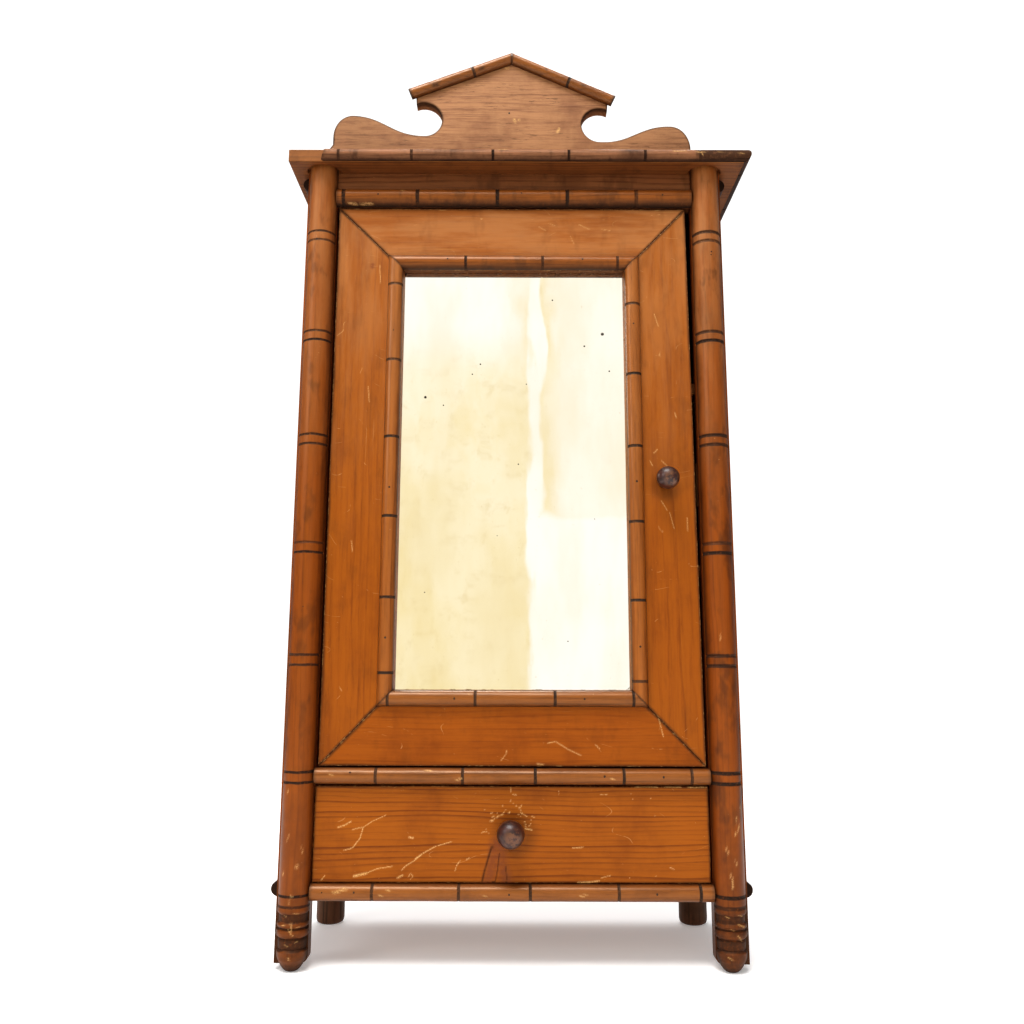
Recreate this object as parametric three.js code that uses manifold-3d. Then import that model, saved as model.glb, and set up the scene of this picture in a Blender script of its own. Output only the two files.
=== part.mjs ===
// A small free-standing cabinet in the faux-bamboo style: pine boards dressed with ringed half-round mouldings,
// a mirrored door above one drawer, and a gabled crest on the cornice.
// Millimetres, +Z up, front towards -Y. The origin is on the floor, under the centre of the overall box.

import * as THREE from 'three';
import { mergeVertices } from 'three/addons/utils/BufferGeometryUtils.js';
import Module from 'manifold-3d';

const wasm = await Module();
wasm.setup();

// ---------------------------------------------------------------- driving dimensions

const COLUMN_X = 152.5;          // column axis, from the cabinet's centre line
const COLUMN_R = 11;
const BOARD = 10;                // thickness of the horizontal boards
const STILE_IN = 141.5;          // inner edge of the front frame, level with the column's inner side
const STILE_OUT = 165;           // outer edge of the front frame, flush with the side panels
const STILE_DEPTH = 9.5;         // the frame's front face is the plane y = 0
const PANEL_IN = 156;            // inner face of the side panels, which are 9 thick
const PANEL_BACK = 132;          // back edge of the side panels
const BACK = 138;                // rear face of the back boards
const BACK_SEAM = 0.25;          // half of the open line between two back boards
const LEG_BOTTOM = 4.5;          // the frame's legs stop here, the turned feet reach the floor
const LEG_ROUND = 5;
const BACK_FOOT = { x: 149.5, y: 121, r: 11.5 };
const FLOOR_BOARD = 46.5;        // underside of the bottom board
const DIVIDER = 125;             // underside of the board between drawer and door
const FRIEZE = 570;              // underside of the frieze rail
const CORNICE = 598.5;           // underside of the cornice board
const GUIDE = { back: 125, top: 66.5 };
const SHELVES = { lower: 275, upper: 420 };       // undersides
const SHELF = { front: 18, thickness: 9 };
const CLEAT = { size: 10, front: 20, back: 130 };
const DOOR_STOP = { x: [60, 120], y: [15.5, 25.5], bottom: 556 };
const KEEPER = { half: 17, back: 15.25 };

const CORNICE_LEFT = -177.5;
const CORNICE_RIGHT = 181;       // the board sits a little to the right of centre
const CORNICE_FRONT = -18;
const CORNICE_PROUD = 5;
const CORNICE_BREAK = -151.5;    // the front moulding is broken off to the left of this
const SOCKET_R = 13.5;
const SOCKET_DEPTH = 3;

const SIDE_MOULDING = { front: 7, width: 11, proud: 6, base: 51.75, top: 592.75 };
const FRIEZE_MOULDING = { width: 15, proud: 7, z: 576.75 };
const DIVIDER_MOULDING = { width: 12, proud: 6, z: 130 };
const BOTTOM_MOULDING = { width: 12, proud: 6, z: 51.25 };
const DOOR_MOULDING = { width: 12, proud: 5.5 };
const CREST_MOULDING = { width: 9.5, proud: 5, overhang: 3.5, lift: 1 };

const GLUE = 0.1;                // glue line behind every applied moulding
const FIT = 0.25;                // clearance beside a loose board
const MITRE = 0.15;              // half of the open line at a mitre

const CREST_X = -2;
const CREST_FRONT = -10;
const CREST_BACK = -0.5;
const CREST_LEAN = 0.034;        // the crest was cut a little lower on its right side
const CREST_APEX = 89.5;
const CREST_EAVE_X = 80;
const CREST_SLOPE = 0.427;
const CREST_FOOT_X = 152;
const CREST_EAVE = 77.6;         // where the notch meets the slope, under the moulding
const EAR = { x: 127.3, z: 11.5, rx: 15.6, rz: 19.3 };
const NOTCH = { x: 70.5, z: 29.6, r: 14.5, from: 1.53 * Math.PI, to: 0.36 * Math.PI };

const DOOR_LEFT = -139.5;
const DOOR_RIGHT_TOP = 136.5;    // the door's free edge is planed to a taper
const DOOR_RIGHT_BOTTOM = 139.25;
const DOOR_BOTTOM = 136.75;
const DOOR_TOP = 568.25;
const DOOR_THICKNESS = 15;
const SIGHT_X = 87;              // half the width of the visible glass
const SIGHT_BOTTOM = 190.5;
const SIGHT_TOP = 516;
const RABBET = 6.5;
const GLASS_FRONT = 6;
const GLASS_THICKNESS = 3;
const BACKING_THICKNESS = 4;
const PIVOT = { x: -135.5, y: 4, pin: 1.25, bore: 1.6 };
const LATCH = { x: 115, z: 346, spindle: 2.5, bore: 2.8 };
const TONGUE = { half: 5, round: 6, reach: 34, front: 15.5, back: 20.25 };

const DRAWER_LEFT = -141;
const DRAWER_RIGHT = 140.25;
const DRAWER_BOTTOM = 57.25;
const DRAWER_TOP = 123.25;
const DRAWER_BACK = 120;
const DRAWER_SIDE = 7.75;
const DRAWER_SIDE_TOP = 117;
const DRAWER_REAR = { thickness: 8, bottom: 62.25, top: 114 };
const DRAWER_FLOOR = [58, 62];

const DOOR_KNOB = { r: 8.85, front: -22.5 };
const DRAWER_KNOB = { x: -1, z: 92.75, r: 10 };
const KNOB_FRONT = -26;          // the drawer knob, foremost point of the whole cabinet
const CENTRE_X = (CORNICE_LEFT + CORNICE_RIGHT + CORNICE_PROUD) / 2;
const CENTRE_Y = (KNOB_FRONT + BACK) / 2;

// ---------------------------------------------------------------- materials

const finish = (color, roughness, metalness = 0) =>
  new THREE.MeshStandardMaterial({ color, roughness, metalness });

const PINE = finish(0xa9602f, 0.42);
const COLUMN_WOOD = finish(0xa5682f, 0.4);
const MOULDING_WOOD = finish(0xa06a38, 0.42);
const CREST_WOOD = finish(0xaa7a52, 0.5);
const DARK_WOOD = finish(0x4a2c1c, 0.55);
const KNOB_WOOD = finish(0x5f3a28, 0.4);
const RAW_WOOD = finish(0xb98c5e, 0.75);
const GLASS = finish(0xe9dfc4, 0.04, 1);
const IRON = finish(0x55504b, 0.5, 1);

// ---------------------------------------------------------------- solids

const cabinet = new THREE.Group();
cabinet.position.set(-CENTRE_X, -CENTRE_Y, 0);

function place(name, geometry, material) {
  const mesh = new THREE.Mesh(geometry, material);
  mesh.name = name;
  cabinet.add(mesh);
  return mesh;
}

function boxGeometry(x0, x1, y0, y1, z0, z1) {
  const geometry = new THREE.BoxGeometry(x1 - x0, y1 - y0, z1 - z0);
  return geometry.translate((x0 + x1) / 2, (y0 + y1) / 2, (z0 + z1) / 2);
}

function board(name, x, y, z, material = PINE) {
  return place(name, boxGeometry(x[0], x[1], y[0], y[1], z[0], z[1]), material);
}

function toSolid(geometry) {
  const bare = geometry.clone();
  bare.deleteAttribute('normal');
  bare.deleteAttribute('uv');
  const merged = mergeVertices(bare, 1e-4);
  const vertProperties = merged.attributes.position.array;
  const triVerts = Uint32Array.from(merged.index.array);
  return new wasm.Manifold(new wasm.Mesh({ numProp: 3, vertProperties, triVerts }));
}

function toGeometry(solid) {
  const mesh = solid.getMesh();
  const geometry = new THREE.BufferGeometry();
  geometry.setAttribute('position', new THREE.BufferAttribute(mesh.vertProperties, 3));
  geometry.setIndex(new THREE.BufferAttribute(mesh.triVerts, 1));
  geometry.computeVertexNormals();
  return geometry;
}

const cut = (geometry, ...tools) =>
  toGeometry(tools.reduce((solid, tool) => solid.subtract(toSolid(tool)), toSolid(geometry)));

const keep = (geometry, region) => toGeometry(toSolid(geometry).intersect(toSolid(region)));

const outline = (points) => new THREE.Shape(points.map(([u, v]) => new THREE.Vector2(u, v)));

// An outline in the X-Z plane, made into a plate from y0 to y1.
function plateXZ(shape, y0, y1, curveSegments = 12) {
  const geometry = new THREE.ExtrudeGeometry(shape, { depth: y1 - y0, bevelEnabled: false, curveSegments });
  return geometry.rotateX(Math.PI / 2).translate(0, y1, 0);
}

// An outline in the X-Y plane, made into a plate from z0 to z1.
function plateXY(shape, z0, z1) {
  const geometry = new THREE.ExtrudeGeometry(shape, { depth: z1 - z0, bevelEnabled: false });
  return geometry.translate(0, 0, z0);
}

// A half-round stick along +X from the origin, its flat on the plane y = 0 and its crown at y = -proud.
function halfRound(length, width, proud) {
  const segments = 10;
  const profile = [];
  for (let i = 0; i <= segments; i += 1) {
    const a = (Math.PI * i) / segments;
    profile.push([-Math.sin(a) * proud, (Math.cos(a) * width) / 2]);
  }
  const stick = new THREE.ExtrudeGeometry(outline(profile), { depth: length, bevelEnabled: false });
  // The profile's plane becomes Y-Z, and its depth runs along X.
  return stick.applyMatrix4(new THREE.Matrix4().set(0, 0, 1, 0, 1, 0, 0, 0, 0, 1, 0, 0, 0, 0, 0, 1));
}

// A turned solid about the Z axis from [radius, z] pairs that start and end on the axis.
function turned(profile, segments) {
  const geometry = new THREE.LatheGeometry(profile.map(([r, z]) => new THREE.Vector2(r, z)), segments);
  return geometry.rotateX(Math.PI / 2);
}

// ---------------------------------------------------------------- carcass

// A stile of the front frame, which runs down as a leg with a rounded inner corner.
function frontStile(side, sign) {
  const shape = new THREE.Shape();
  shape.moveTo(STILE_OUT, CORNICE);
  shape.lineTo(STILE_IN, CORNICE);
  shape.lineTo(STILE_IN, LEG_BOTTOM + LEG_ROUND);
  shape.absarc(STILE_IN + LEG_ROUND, LEG_BOTTOM + LEG_ROUND, LEG_ROUND, Math.PI, Math.PI * 1.5, false);
  shape.lineTo(STILE_OUT, LEG_BOTTOM);
  const leg = plateXZ(shape, 0, STILE_DEPTH, 5);
  place(`stile_${side}`, sign > 0 ? leg : leg.rotateZ(Math.PI).translate(0, STILE_DEPTH, 0), PINE);
}

// Half column with its turned foot: [radius, z] from the floor up into the cornice socket.
const COLUMN_PROFILE = [
  [0, 0], [4.5, 0], [6.2, 1.6], [8.6, 5.6], [10.2, 10], [10.6, 14.6], [9.8, 15.5], [9.8, 21.8], [11, 23.2],
  [11, 28.3], [9.9, 29], [9.9, 30.2], [11, 30.9], [11, 34.2], [10, 35.4], [10, 39.9], [11.2, 41], [11, 42.6],
  [COLUMN_R, CORNICE + SOCKET_DEPTH - 0.5], [0, CORNICE + SOCKET_DEPTH - 0.5],
];

function column(side, x) {
  const full = turned(COLUMN_PROFILE, 24);
  const front = boxGeometry(-20, 20, -20, -GLUE, -5, CORNICE + 20);
  place(`column_${side}`, keep(full, front).translate(x, 0, 0), COLUMN_WOOD);
}

function backFoot(side, sign) {
  const { x, y, r } = BACK_FOOT;
  const profile = [[0, 0], [r - 2.5, 0], [r - 0.7, 0.7], [r, 2.5], [r, FLOOR_BOARD], [0, FLOOR_BOARD]];
  place(`back_foot_${side}`, turned(profile, 20).translate(sign * x, y, 0), DARK_WOOD);
}

// A board against one side panel: x is how far it reaches on the right side of the cabinet.
function sideBoard(name, sign, x, y, z, material) {
  board(name, sign < 0 ? [-x[1], -x[0]] : x, y, z, material);
}

function sideBoards(side, sign) {
  sideBoard(`side_panel_${side}`, sign, [PANEL_IN, STILE_OUT], [STILE_DEPTH, PANEL_BACK],
    [FLOOR_BOARD, CORNICE], PINE);
  sideBoard(`drawer_guide_${side}`, sign, [STILE_IN, PANEL_IN], [STILE_DEPTH, GUIDE.back],
    [FLOOR_BOARD + BOARD, GUIDE.top], RAW_WOOD);
  for (const [level, z] of Object.entries(SHELVES)) {
    sideBoard(`shelf_cleat_${level}_${side}`, sign, [PANEL_IN - CLEAT.size, PANEL_IN],
      [CLEAT.front, CLEAT.back], [z - CLEAT.size, z], RAW_WOOD);
  }
  sideMoulding(`base_moulding_${side}`, sign, SIDE_MOULDING.base);
  sideMoulding(`top_moulding_${side}`, sign, SIDE_MOULDING.top);
}

// Half-round along the outside of a side panel, its end showing behind the column.
function sideMoulding(name, sign, z) {
  const { front, width, proud } = SIDE_MOULDING;
  const stick = halfRound(BACK - front, width, proud);
  // along -Y with the flat towards the panel on the right side, along +Y on the left side
  stick.rotateZ(sign > 0 ? Math.PI / 2 : -Math.PI / 2);
  stick.translate(sign * (STILE_OUT + GLUE), sign > 0 ? front : BACK, z);
  place(name, stick, PINE);
}

// Carcass boards have a tongue that comes forward between the two stiles.
function tongueBoard(x, y) {
  return outline([
    [-x, PANEL_BACK], [-x, STILE_DEPTH], [-STILE_IN, STILE_DEPTH], [-STILE_IN, y],
    [STILE_IN, y], [STILE_IN, STILE_DEPTH], [x, STILE_DEPTH], [x, PANEL_BACK],
  ]);
}

const peg = (r, z0, z1) => new THREE.CylinderGeometry(r, r, z1 - z0, 16)
  .rotateX(Math.PI / 2).translate(PIVOT.x, PIVOT.y, (z0 + z1) / 2);

function carcassBoards() {
  const deck = tongueBoard(PANEL_IN, 0);
  place('bottom_board', plateXY(deck, FLOOR_BOARD, FLOOR_BOARD + BOARD), PINE);
  const divider = plateXY(deck, DIVIDER, DIVIDER + BOARD);
  place('divider_board', cut(divider, peg(PIVOT.bore, DIVIDER + 4, DIVIDER + BOARD + 5)), PINE);
  const rail = boxGeometry(-STILE_IN, STILE_IN, 0, STILE_DEPTH, FRIEZE, CORNICE);
  place('frieze_rail', cut(rail, peg(PIVOT.bore, FRIEZE - 5, FRIEZE + 15)), PINE);
  place('pivot_pin_bottom', peg(PIVOT.pin, DIVIDER + 4.5, DOOR_BOTTOM + 7), IRON);
  place('pivot_pin_top', peg(PIVOT.pin, DOOR_TOP - 7, FRIEZE + 14.5), IRON);

  const shelfX = PANEL_IN - FIT;
  for (const [level, z] of Object.entries(SHELVES)) {
    board(`shelf_${level}`, [-shelfX, shelfX], [SHELF.front, PANEL_BACK - FIT], [z, z + SHELF.thickness]);
  }
  board('door_stop', DOOR_STOP.x, DOOR_STOP.y, [DOOR_STOP.bottom, CORNICE], RAW_WOOD);
  board('latch_keeper', [STILE_IN, PANEL_IN], [STILE_DEPTH, KEEPER.back],
    [LATCH.z - KEEPER.half, LATCH.z + KEEPER.half], RAW_WOOD);

  const third = (2 * STILE_OUT) / 3;
  ['left', 'middle', 'right'].forEach((part, i) => {
    const x0 = -STILE_OUT + i * third;
    const x1 = x0 + third;
    const x = [i > 0 ? x0 + BACK_SEAM : x0, i < 2 ? x1 - BACK_SEAM : x1];
    board(`back_board_${part}`, x, [PANEL_BACK, BACK], [FLOOR_BOARD, CORNICE], RAW_WOOD);
  });
}

function railMoulding(name, { width, proud, z }) {
  const stick = halfRound(2 * STILE_IN - 2 * FIT, width, proud);
  place(name, stick.translate(-STILE_IN + FIT, -GLUE, z), MOULDING_WOOD);
}

// ---------------------------------------------------------------- cornice and crest

function cornice() {
  const slab = boxGeometry(CORNICE_LEFT, CORNICE_RIGHT, CORNICE_FRONT, BACK, CORNICE, CORNICE + BOARD);
  const sockets = [-COLUMN_X, COLUMN_X].map((x) => keep(
    new THREE.CylinderGeometry(SOCKET_R, SOCKET_R, 2 * SOCKET_DEPTH, 24).rotateX(Math.PI / 2),
    boxGeometry(-20, 20, -20, -GLUE / 2, -20, 20),
  ).translate(x, 0, CORNICE));
  place('cornice_board', cut(slab, ...sockets), PINE);

  const z = CORNICE + BOARD / 2;
  const edgeY = CORNICE_FRONT - GLUE;
  const edgeX = CORNICE_RIGHT + GLUE;
  const reach = 30;
  const frontSide = plateXY(outline([
    [CORNICE_BREAK, edgeY + 1], [CORNICE_BREAK, edgeY - reach], [edgeX + reach - MITRE, edgeY - reach],
    [edgeX - 1 - MITRE, edgeY + 1],
  ]), CORNICE - 1, CORNICE + BOARD + 1);
  const rightSide = plateXY(outline([
    [edgeX - 1 + MITRE, edgeY + 1], [edgeX + reach + MITRE, edgeY - reach], [edgeX + reach, BACK],
    [edgeX - 1, BACK],
  ]), CORNICE - 1, CORNICE + BOARD + 1);
  const front = halfRound(400, BOARD, CORNICE_PROUD).translate(-200, edgeY, z);
  const right = halfRound(BACK + 60, BOARD, CORNICE_PROUD).rotateZ(Math.PI / 2).translate(edgeX, -60, z);
  place('cornice_moulding_front', keep(front, frontSide), DARK_WOOD);
  place('cornice_moulding_right', keep(right, rightSide), DARK_WOOD);
}

const point = (x, z) => new THREE.Vector2(x, z);

// Half of the crest's outline, from the foot of the right ear to the apex: heights are above the cornice.
function crestHalf() {
  const flare = new THREE.QuadraticBezierCurve(point(151, 1), point(145, 4), point(142.9, 7.5));
  const ear = new THREE.EllipseCurve(EAR.x, EAR.z, EAR.rx, EAR.rz, 0, Math.PI / 2);
  const ogee = new THREE.CubicBezierCurve(
    point(EAR.x, EAR.z + EAR.rz), point(103, 30.8), point(96, 15.1), point(71.8, 15.1));
  const notch = new THREE.EllipseCurve(NOTCH.x, NOTCH.z, NOTCH.r, NOTCH.r, NOTCH.from, NOTCH.to, true);
  const points = [[CREST_FOOT_X, 0]];
  for (const [curve, steps] of [[flare, 3], [ear, 8], [ogee, 10], [notch, 16]]) {
    curve.getPoints(steps).forEach((p) => points.push([p.x, p.y]));
  }
  points.push([CREST_EAVE, CREST_APEX - CREST_SLOPE * CREST_EAVE], [0, CREST_APEX]);
  return points.filter(([x, z], i) => !i || Math.hypot(x - points[i - 1][0], z - points[i - 1][1]) > 0.05);
}

const lean = (x, z) => z - CREST_LEAN * x * Math.min(1, z / 15);

function crest() {
  const base = CORNICE + BOARD;
  const half = crestHalf();
  const left = half.slice(0, -1).reverse().map(([x, z]) => [-x, z]);
  const points = [...half, ...left].map(([x, z]) => [x + CREST_X, base + lean(x, z)]);
  place('crest_board', plateXZ(outline(points), CREST_FRONT, CREST_BACK), CREST_WOOD);

  const { width, proud, overhang, lift } = CREST_MOULDING;
  const spare = 10;                // cut off at the apex
  for (const [side, sign] of [['left', -1], ['right', 1]]) {
    const slope = Math.atan(CREST_SLOPE + sign * CREST_LEAN);
    const length = (CREST_EAVE_X + overhang) / Math.cos(slope);
    const stick = halfRound(length + spare, width, proud).translate(-spare, 0, -width / 2);
    if (sign < 0) {
      stick.translate(-length + spare, 0, 0);
    }
    stick.rotateY(sign * slope).translate(CREST_X, CREST_FRONT - GLUE, base + CREST_APEX + lift);
    const x = sign < 0 ? [-200, CREST_X - MITRE] : [CREST_X + MITRE, 200];
    const halfSpace = boxGeometry(x[0], x[1], -40, 20, base - 10, base + 150);
    place(`crest_moulding_${side}`, keep(stick, halfSpace), MOULDING_WOOD);
  }
}

// ---------------------------------------------------------------- door

// Four mitred members as outlines between two rectangles with corners [bottom left, bottom right, top right,
// top left]. An open line is left at each mitre.
function mitredOutlines(outer, inner) {
  const member = (i, dx, dz) => {
    const j = (i + 1) % 4;
    return outline([outer[i], outer[j], inner[j], inner[i]].map(([x, z]) => [x + dx, z + dz]));
  };
  return {
    bottom: member(0, 0, -MITRE),
    right: member(1, MITRE, 0),
    top: member(2, 0, MITRE),
    left: member(3, -MITRE, 0),
  };
}

const corners = (x0, x1Bottom, x1Top, z0, z1) => [
  [x0 + MITRE, z0 + MITRE],
  [x1Bottom - MITRE, z0 + MITRE],
  [x1Top - MITRE, z1 - MITRE],
  [x0 + MITRE, z1 - MITRE],
];
const sight = (wider) =>
  corners(-SIGHT_X - wider, SIGHT_X + wider, SIGHT_X + wider, SIGHT_BOTTOM - wider, SIGHT_TOP + wider);

function doorFrame() {
  const outer = corners(DOOR_LEFT, DOOR_RIGHT_BOTTOM, DOOR_RIGHT_TOP, DOOR_BOTTOM, DOOR_TOP);
  const members = mitredOutlines(outer, sight(0));
  const pocket = boxGeometry(-SIGHT_X - RABBET, SIGHT_X + RABBET, GLASS_FRONT, DOOR_THICKNESS + 5,
    SIGHT_BOTTOM - RABBET, SIGHT_TOP + RABBET);
  const pinHole = peg(PIVOT.bore, DOOR_BOTTOM - 5, DOOR_BOTTOM + 8);
  const topHole = peg(PIVOT.bore, DOOR_TOP - 8, DOOR_TOP + 5);
  const spindleHole = new THREE.CylinderGeometry(LATCH.bore, LATCH.bore, 30, 16).translate(LATCH.x, 5, LATCH.z);
  const member = (name, shape, ...tools) => place(name, cut(plateXZ(shape, 0, DOOR_THICKNESS), ...tools), PINE);
  member('door_rail_bottom', members.bottom, pocket, pinHole);
  member('door_stile_right', members.right, pocket, spindleHole);
  member('door_rail_top', members.top, pocket, topHole);
  member('door_stile_left', members.left, pocket, pinHole, topHole);
}

function doorMouldings() {
  const { width, proud } = DOOR_MOULDING;
  const regions = mitredOutlines(sight(width), sight(0));
  const end = width + 20;          // the sticks are cut back to the mitres
  const across = () => halfRound(2 * (SIGHT_X + end), width, proud).translate(-SIGHT_X - end, 0, 0);
  const upright = () => halfRound(SIGHT_TOP - SIGHT_BOTTOM + 2 * end, width, proud)
    .rotateY(-Math.PI / 2).translate(0, 0, SIGHT_BOTTOM - end);
  const sticks = {
    bottom: across().translate(0, 0, SIGHT_BOTTOM - width / 2),
    top: across().translate(0, 0, SIGHT_TOP + width / 2),
    left: upright().translate(-SIGHT_X - width / 2, 0, 0),
    right: upright().translate(SIGHT_X + width / 2, 0, 0),
  };
  for (const [side, stick] of Object.entries(sticks)) {
    const region = plateXZ(regions[side], -10, 1);
    place(`door_moulding_${side}`, keep(stick, region).translate(0, -GLUE, 0), MOULDING_WOOD);
  }
}

function mirror() {
  const x = SIGHT_X + RABBET - FIT;
  const z = [SIGHT_BOTTOM - RABBET + FIT, SIGHT_TOP + RABBET - FIT];
  const glassBack = GLASS_FRONT + FIT + GLASS_THICKNESS;
  const backingBack = glassBack + FIT + BACKING_THICKNESS;
  board('mirror', [-x, x], [GLASS_FRONT + FIT, glassBack], z, GLASS);
  board('mirror_backing', [-x, x], [glassBack + FIT, backingBack], z, RAW_WOOD);
  board('backing_strip_bottom', [-x, x], [backingBack + FIT, DOOR_THICKNESS], [z[0], z[0] + 9], RAW_WOOD);
  board('backing_strip_top', [-x, x], [backingBack + FIT, DOOR_THICKNESS], [z[1] - 9, z[1]], RAW_WOOD);
}

// A ball knob on a short neck, facing -Y, its foot against the plane y = 0.
function knob(name, x, z, r, front) {
  const neck = 0.45 * r;
  const start = Math.asin(neck / r);
  const ball = [];
  const steps = 10;
  for (let i = 0; i <= steps; i += 1) {
    const a = start + ((Math.PI - start) * i) / steps;
    ball.push([r * Math.sin(a), -front - r - r * Math.cos(a)]);
  }
  ball[steps][0] = 0;
  const profile = [[0, 0.15], [neck + 1.2, 0.15], [neck + 1.2, 1.4], ...ball];
  place(name, turned(profile, 18).rotateX(Math.PI / 2).translate(x, 0, z), KNOB_WOOD);
}

function latch() {
  knob('door_knob', LATCH.x, LATCH.z, DOOR_KNOB.r, DOOR_KNOB.front);
  const spindle = new THREE.CylinderGeometry(LATCH.spindle, LATCH.spindle, 15.25, 16);
  place('latch_spindle', spindle.translate(LATCH.x, 7.625, LATCH.z), IRON);
  const tongue = new THREE.Shape();
  tongue.absarc(0, 0, TONGUE.round, Math.PI, Math.PI * 2, false);
  tongue.lineTo(TONGUE.half, TONGUE.reach);
  tongue.lineTo(-TONGUE.half, TONGUE.reach);
  const plate = plateXZ(tongue, TONGUE.front, TONGUE.back, 8).translate(LATCH.x, 0, LATCH.z);
  place('latch_tongue', plate, RAW_WOOD);
}

// ---------------------------------------------------------------- drawer

function drawer() {
  const inLeft = -STILE_IN + 1 + DRAWER_SIDE;
  const inRight = DRAWER_RIGHT - DRAWER_SIDE;
  board('drawer_front', [DRAWER_LEFT, DRAWER_RIGHT], [0, BOARD], [DRAWER_BOTTOM, DRAWER_TOP]);
  const run = [BOARD, DRAWER_BACK];
  const height = [DRAWER_BOTTOM, DRAWER_SIDE_TOP];
  board('drawer_side_left', [inLeft - DRAWER_SIDE, inLeft], run, height, RAW_WOOD);
  board('drawer_side_right', [inRight, DRAWER_RIGHT], run, height, RAW_WOOD);
  const x = [inLeft + FIT, inRight - FIT];
  const { thickness, bottom, top } = DRAWER_REAR;
  board('drawer_back', x, [DRAWER_BACK - thickness, DRAWER_BACK], [bottom, top], RAW_WOOD);
  board('drawer_bottom', x, run, DRAWER_FLOOR, RAW_WOOD);
  knob('drawer_knob', DRAWER_KNOB.x, DRAWER_KNOB.z, DRAWER_KNOB.r, KNOB_FRONT);
}

// ---------------------------------------------------------------- assembly

for (const [side, sign] of [['left', -1], ['right', 1]]) {
  frontStile(side, sign);
  column(side, sign * COLUMN_X);
  backFoot(side, sign);
  sideBoards(side, sign);
}
carcassBoards();
railMoulding('frieze_moulding', FRIEZE_MOULDING);
railMoulding('divider_moulding', DIVIDER_MOULDING);
railMoulding('bottom_moulding', BOTTOM_MOULDING);
cornice();
crest();
doorFrame();
doorMouldings();
mirror();
latch();
drawer();

export default cabinet;
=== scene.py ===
"""The looks of a small faux-bamboo pine cabinet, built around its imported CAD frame.

Pieces are made in cabinet millimetres: x from the middle line between the columns, y from the front plane
of the frame (the viewer is at -y), z from the floor. world() turns them into the row frame, in metres.
"""

import math
import random

import bmesh
import bpy
import numpy as np
from mathutils import Matrix, Vector, noise
from mathutils.geometry import convex_hull_2d, delaunay_2d_cdt

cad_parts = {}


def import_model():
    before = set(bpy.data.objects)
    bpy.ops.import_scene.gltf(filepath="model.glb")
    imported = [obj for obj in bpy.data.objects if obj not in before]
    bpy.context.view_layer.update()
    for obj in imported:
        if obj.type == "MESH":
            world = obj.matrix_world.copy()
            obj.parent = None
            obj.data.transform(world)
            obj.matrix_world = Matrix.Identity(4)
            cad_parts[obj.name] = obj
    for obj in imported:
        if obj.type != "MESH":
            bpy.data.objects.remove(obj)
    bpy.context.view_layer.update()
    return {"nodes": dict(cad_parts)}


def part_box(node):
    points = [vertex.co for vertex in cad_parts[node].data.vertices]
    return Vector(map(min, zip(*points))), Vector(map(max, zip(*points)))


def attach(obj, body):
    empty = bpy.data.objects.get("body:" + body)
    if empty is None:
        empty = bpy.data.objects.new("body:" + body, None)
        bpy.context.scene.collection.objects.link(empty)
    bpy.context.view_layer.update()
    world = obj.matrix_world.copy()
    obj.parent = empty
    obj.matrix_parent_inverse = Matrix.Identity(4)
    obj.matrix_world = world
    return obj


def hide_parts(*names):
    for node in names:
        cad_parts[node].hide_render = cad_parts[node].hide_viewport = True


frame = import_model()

# ---------------------------------------------------------------- the frame, in cabinet millimetres

MM = 0.001
COLUMN_AXES = {side: sum(c.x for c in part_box(f"column_{side}")) / 2 for side in ("left", "right")}
ORIGIN = Vector((sum(COLUMN_AXES.values()) / 2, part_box("stile_left")[0].y, 0))
GLUE = 0.1


def world(points):
    return np.asarray(points, float) * MM + np.array(ORIGIN)


def span(node):
    """The lowest and highest corner of a CAD node, in cabinet millimetres."""
    lo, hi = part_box(node)
    return (lo - ORIGIN) / MM, (hi - ORIGIN) / MM


def middle(node):
    lo, hi = span(node)
    return (lo + hi) / 2


# ---------------------------------------------------------------- mesh building


def ripple(x, y, z, seed=0.0):
    """Smooth noise from -1 to 1."""
    return noise.noise((x + 17.3 * seed, y - 9.1 * seed, z + 4.7 * seed))


def piece(name, points, faces, body, nodes, material, values=None, sharp=35):
    """A finished piece that stands for CAD nodes and rides on their body."""
    mesh = bpy.data.meshes.new(name)
    mesh.from_pydata([tuple(p) for p in world(points)], [], faces)
    for key, numbers in (values or {}).items():
        attribute = mesh.attributes.new(key, "FLOAT", "POINT")
        attribute.data.foreach_set("value", np.asarray(numbers, np.float32))
    shape = bmesh.new()
    shape.from_mesh(mesh)
    bmesh.ops.remove_doubles(shape, verts=shape.verts, dist=0.004 * MM)
    bmesh.ops.dissolve_degenerate(shape, edges=shape.edges, dist=0.002 * MM)
    bmesh.ops.recalc_face_normals(shape, faces=shape.faces)
    shape.to_mesh(mesh)
    shape.free()
    mesh.polygons.foreach_set("use_smooth", [True] * len(mesh.polygons))
    mesh.set_sharp_from_angle(angle=math.radians(sharp))
    mesh.materials.append(material)
    made = bpy.data.objects.new(name, mesh)
    bpy.context.scene.collection.objects.link(made)
    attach(made, body)
    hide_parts(*nodes)
    return made


def loft(sections):
    """Points and faces of a closed skin through closed sections of the same number of points."""
    count, around = len(sections), len(sections[0])
    faces = []
    for i in range(count - 1):
        for j in range(around):
            k = (j + 1) % around
            faces.append((i * around + j, i * around + k, (i + 1) * around + k, (i + 1) * around + j))
    faces.append(tuple(range(around)))
    faces.append(tuple((count - 1) * around + j for j in reversed(range(around))))
    return np.concatenate(sections), faces


STATION_STEP = 2.5


def stations(length, rings, half):
    """Places along a stick, closer together at its rings."""
    even = np.linspace(0, length, max(2, round(length / STATION_STEP)) + 1)
    near = [r + half * o for r in rings for o in (-1.9, -1.3, -0.9, -0.45, 0, 0.45, 0.9, 1.3, 1.9)]
    return np.unique(np.clip(np.concatenate([even, near]), 0, length).round(3))


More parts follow.
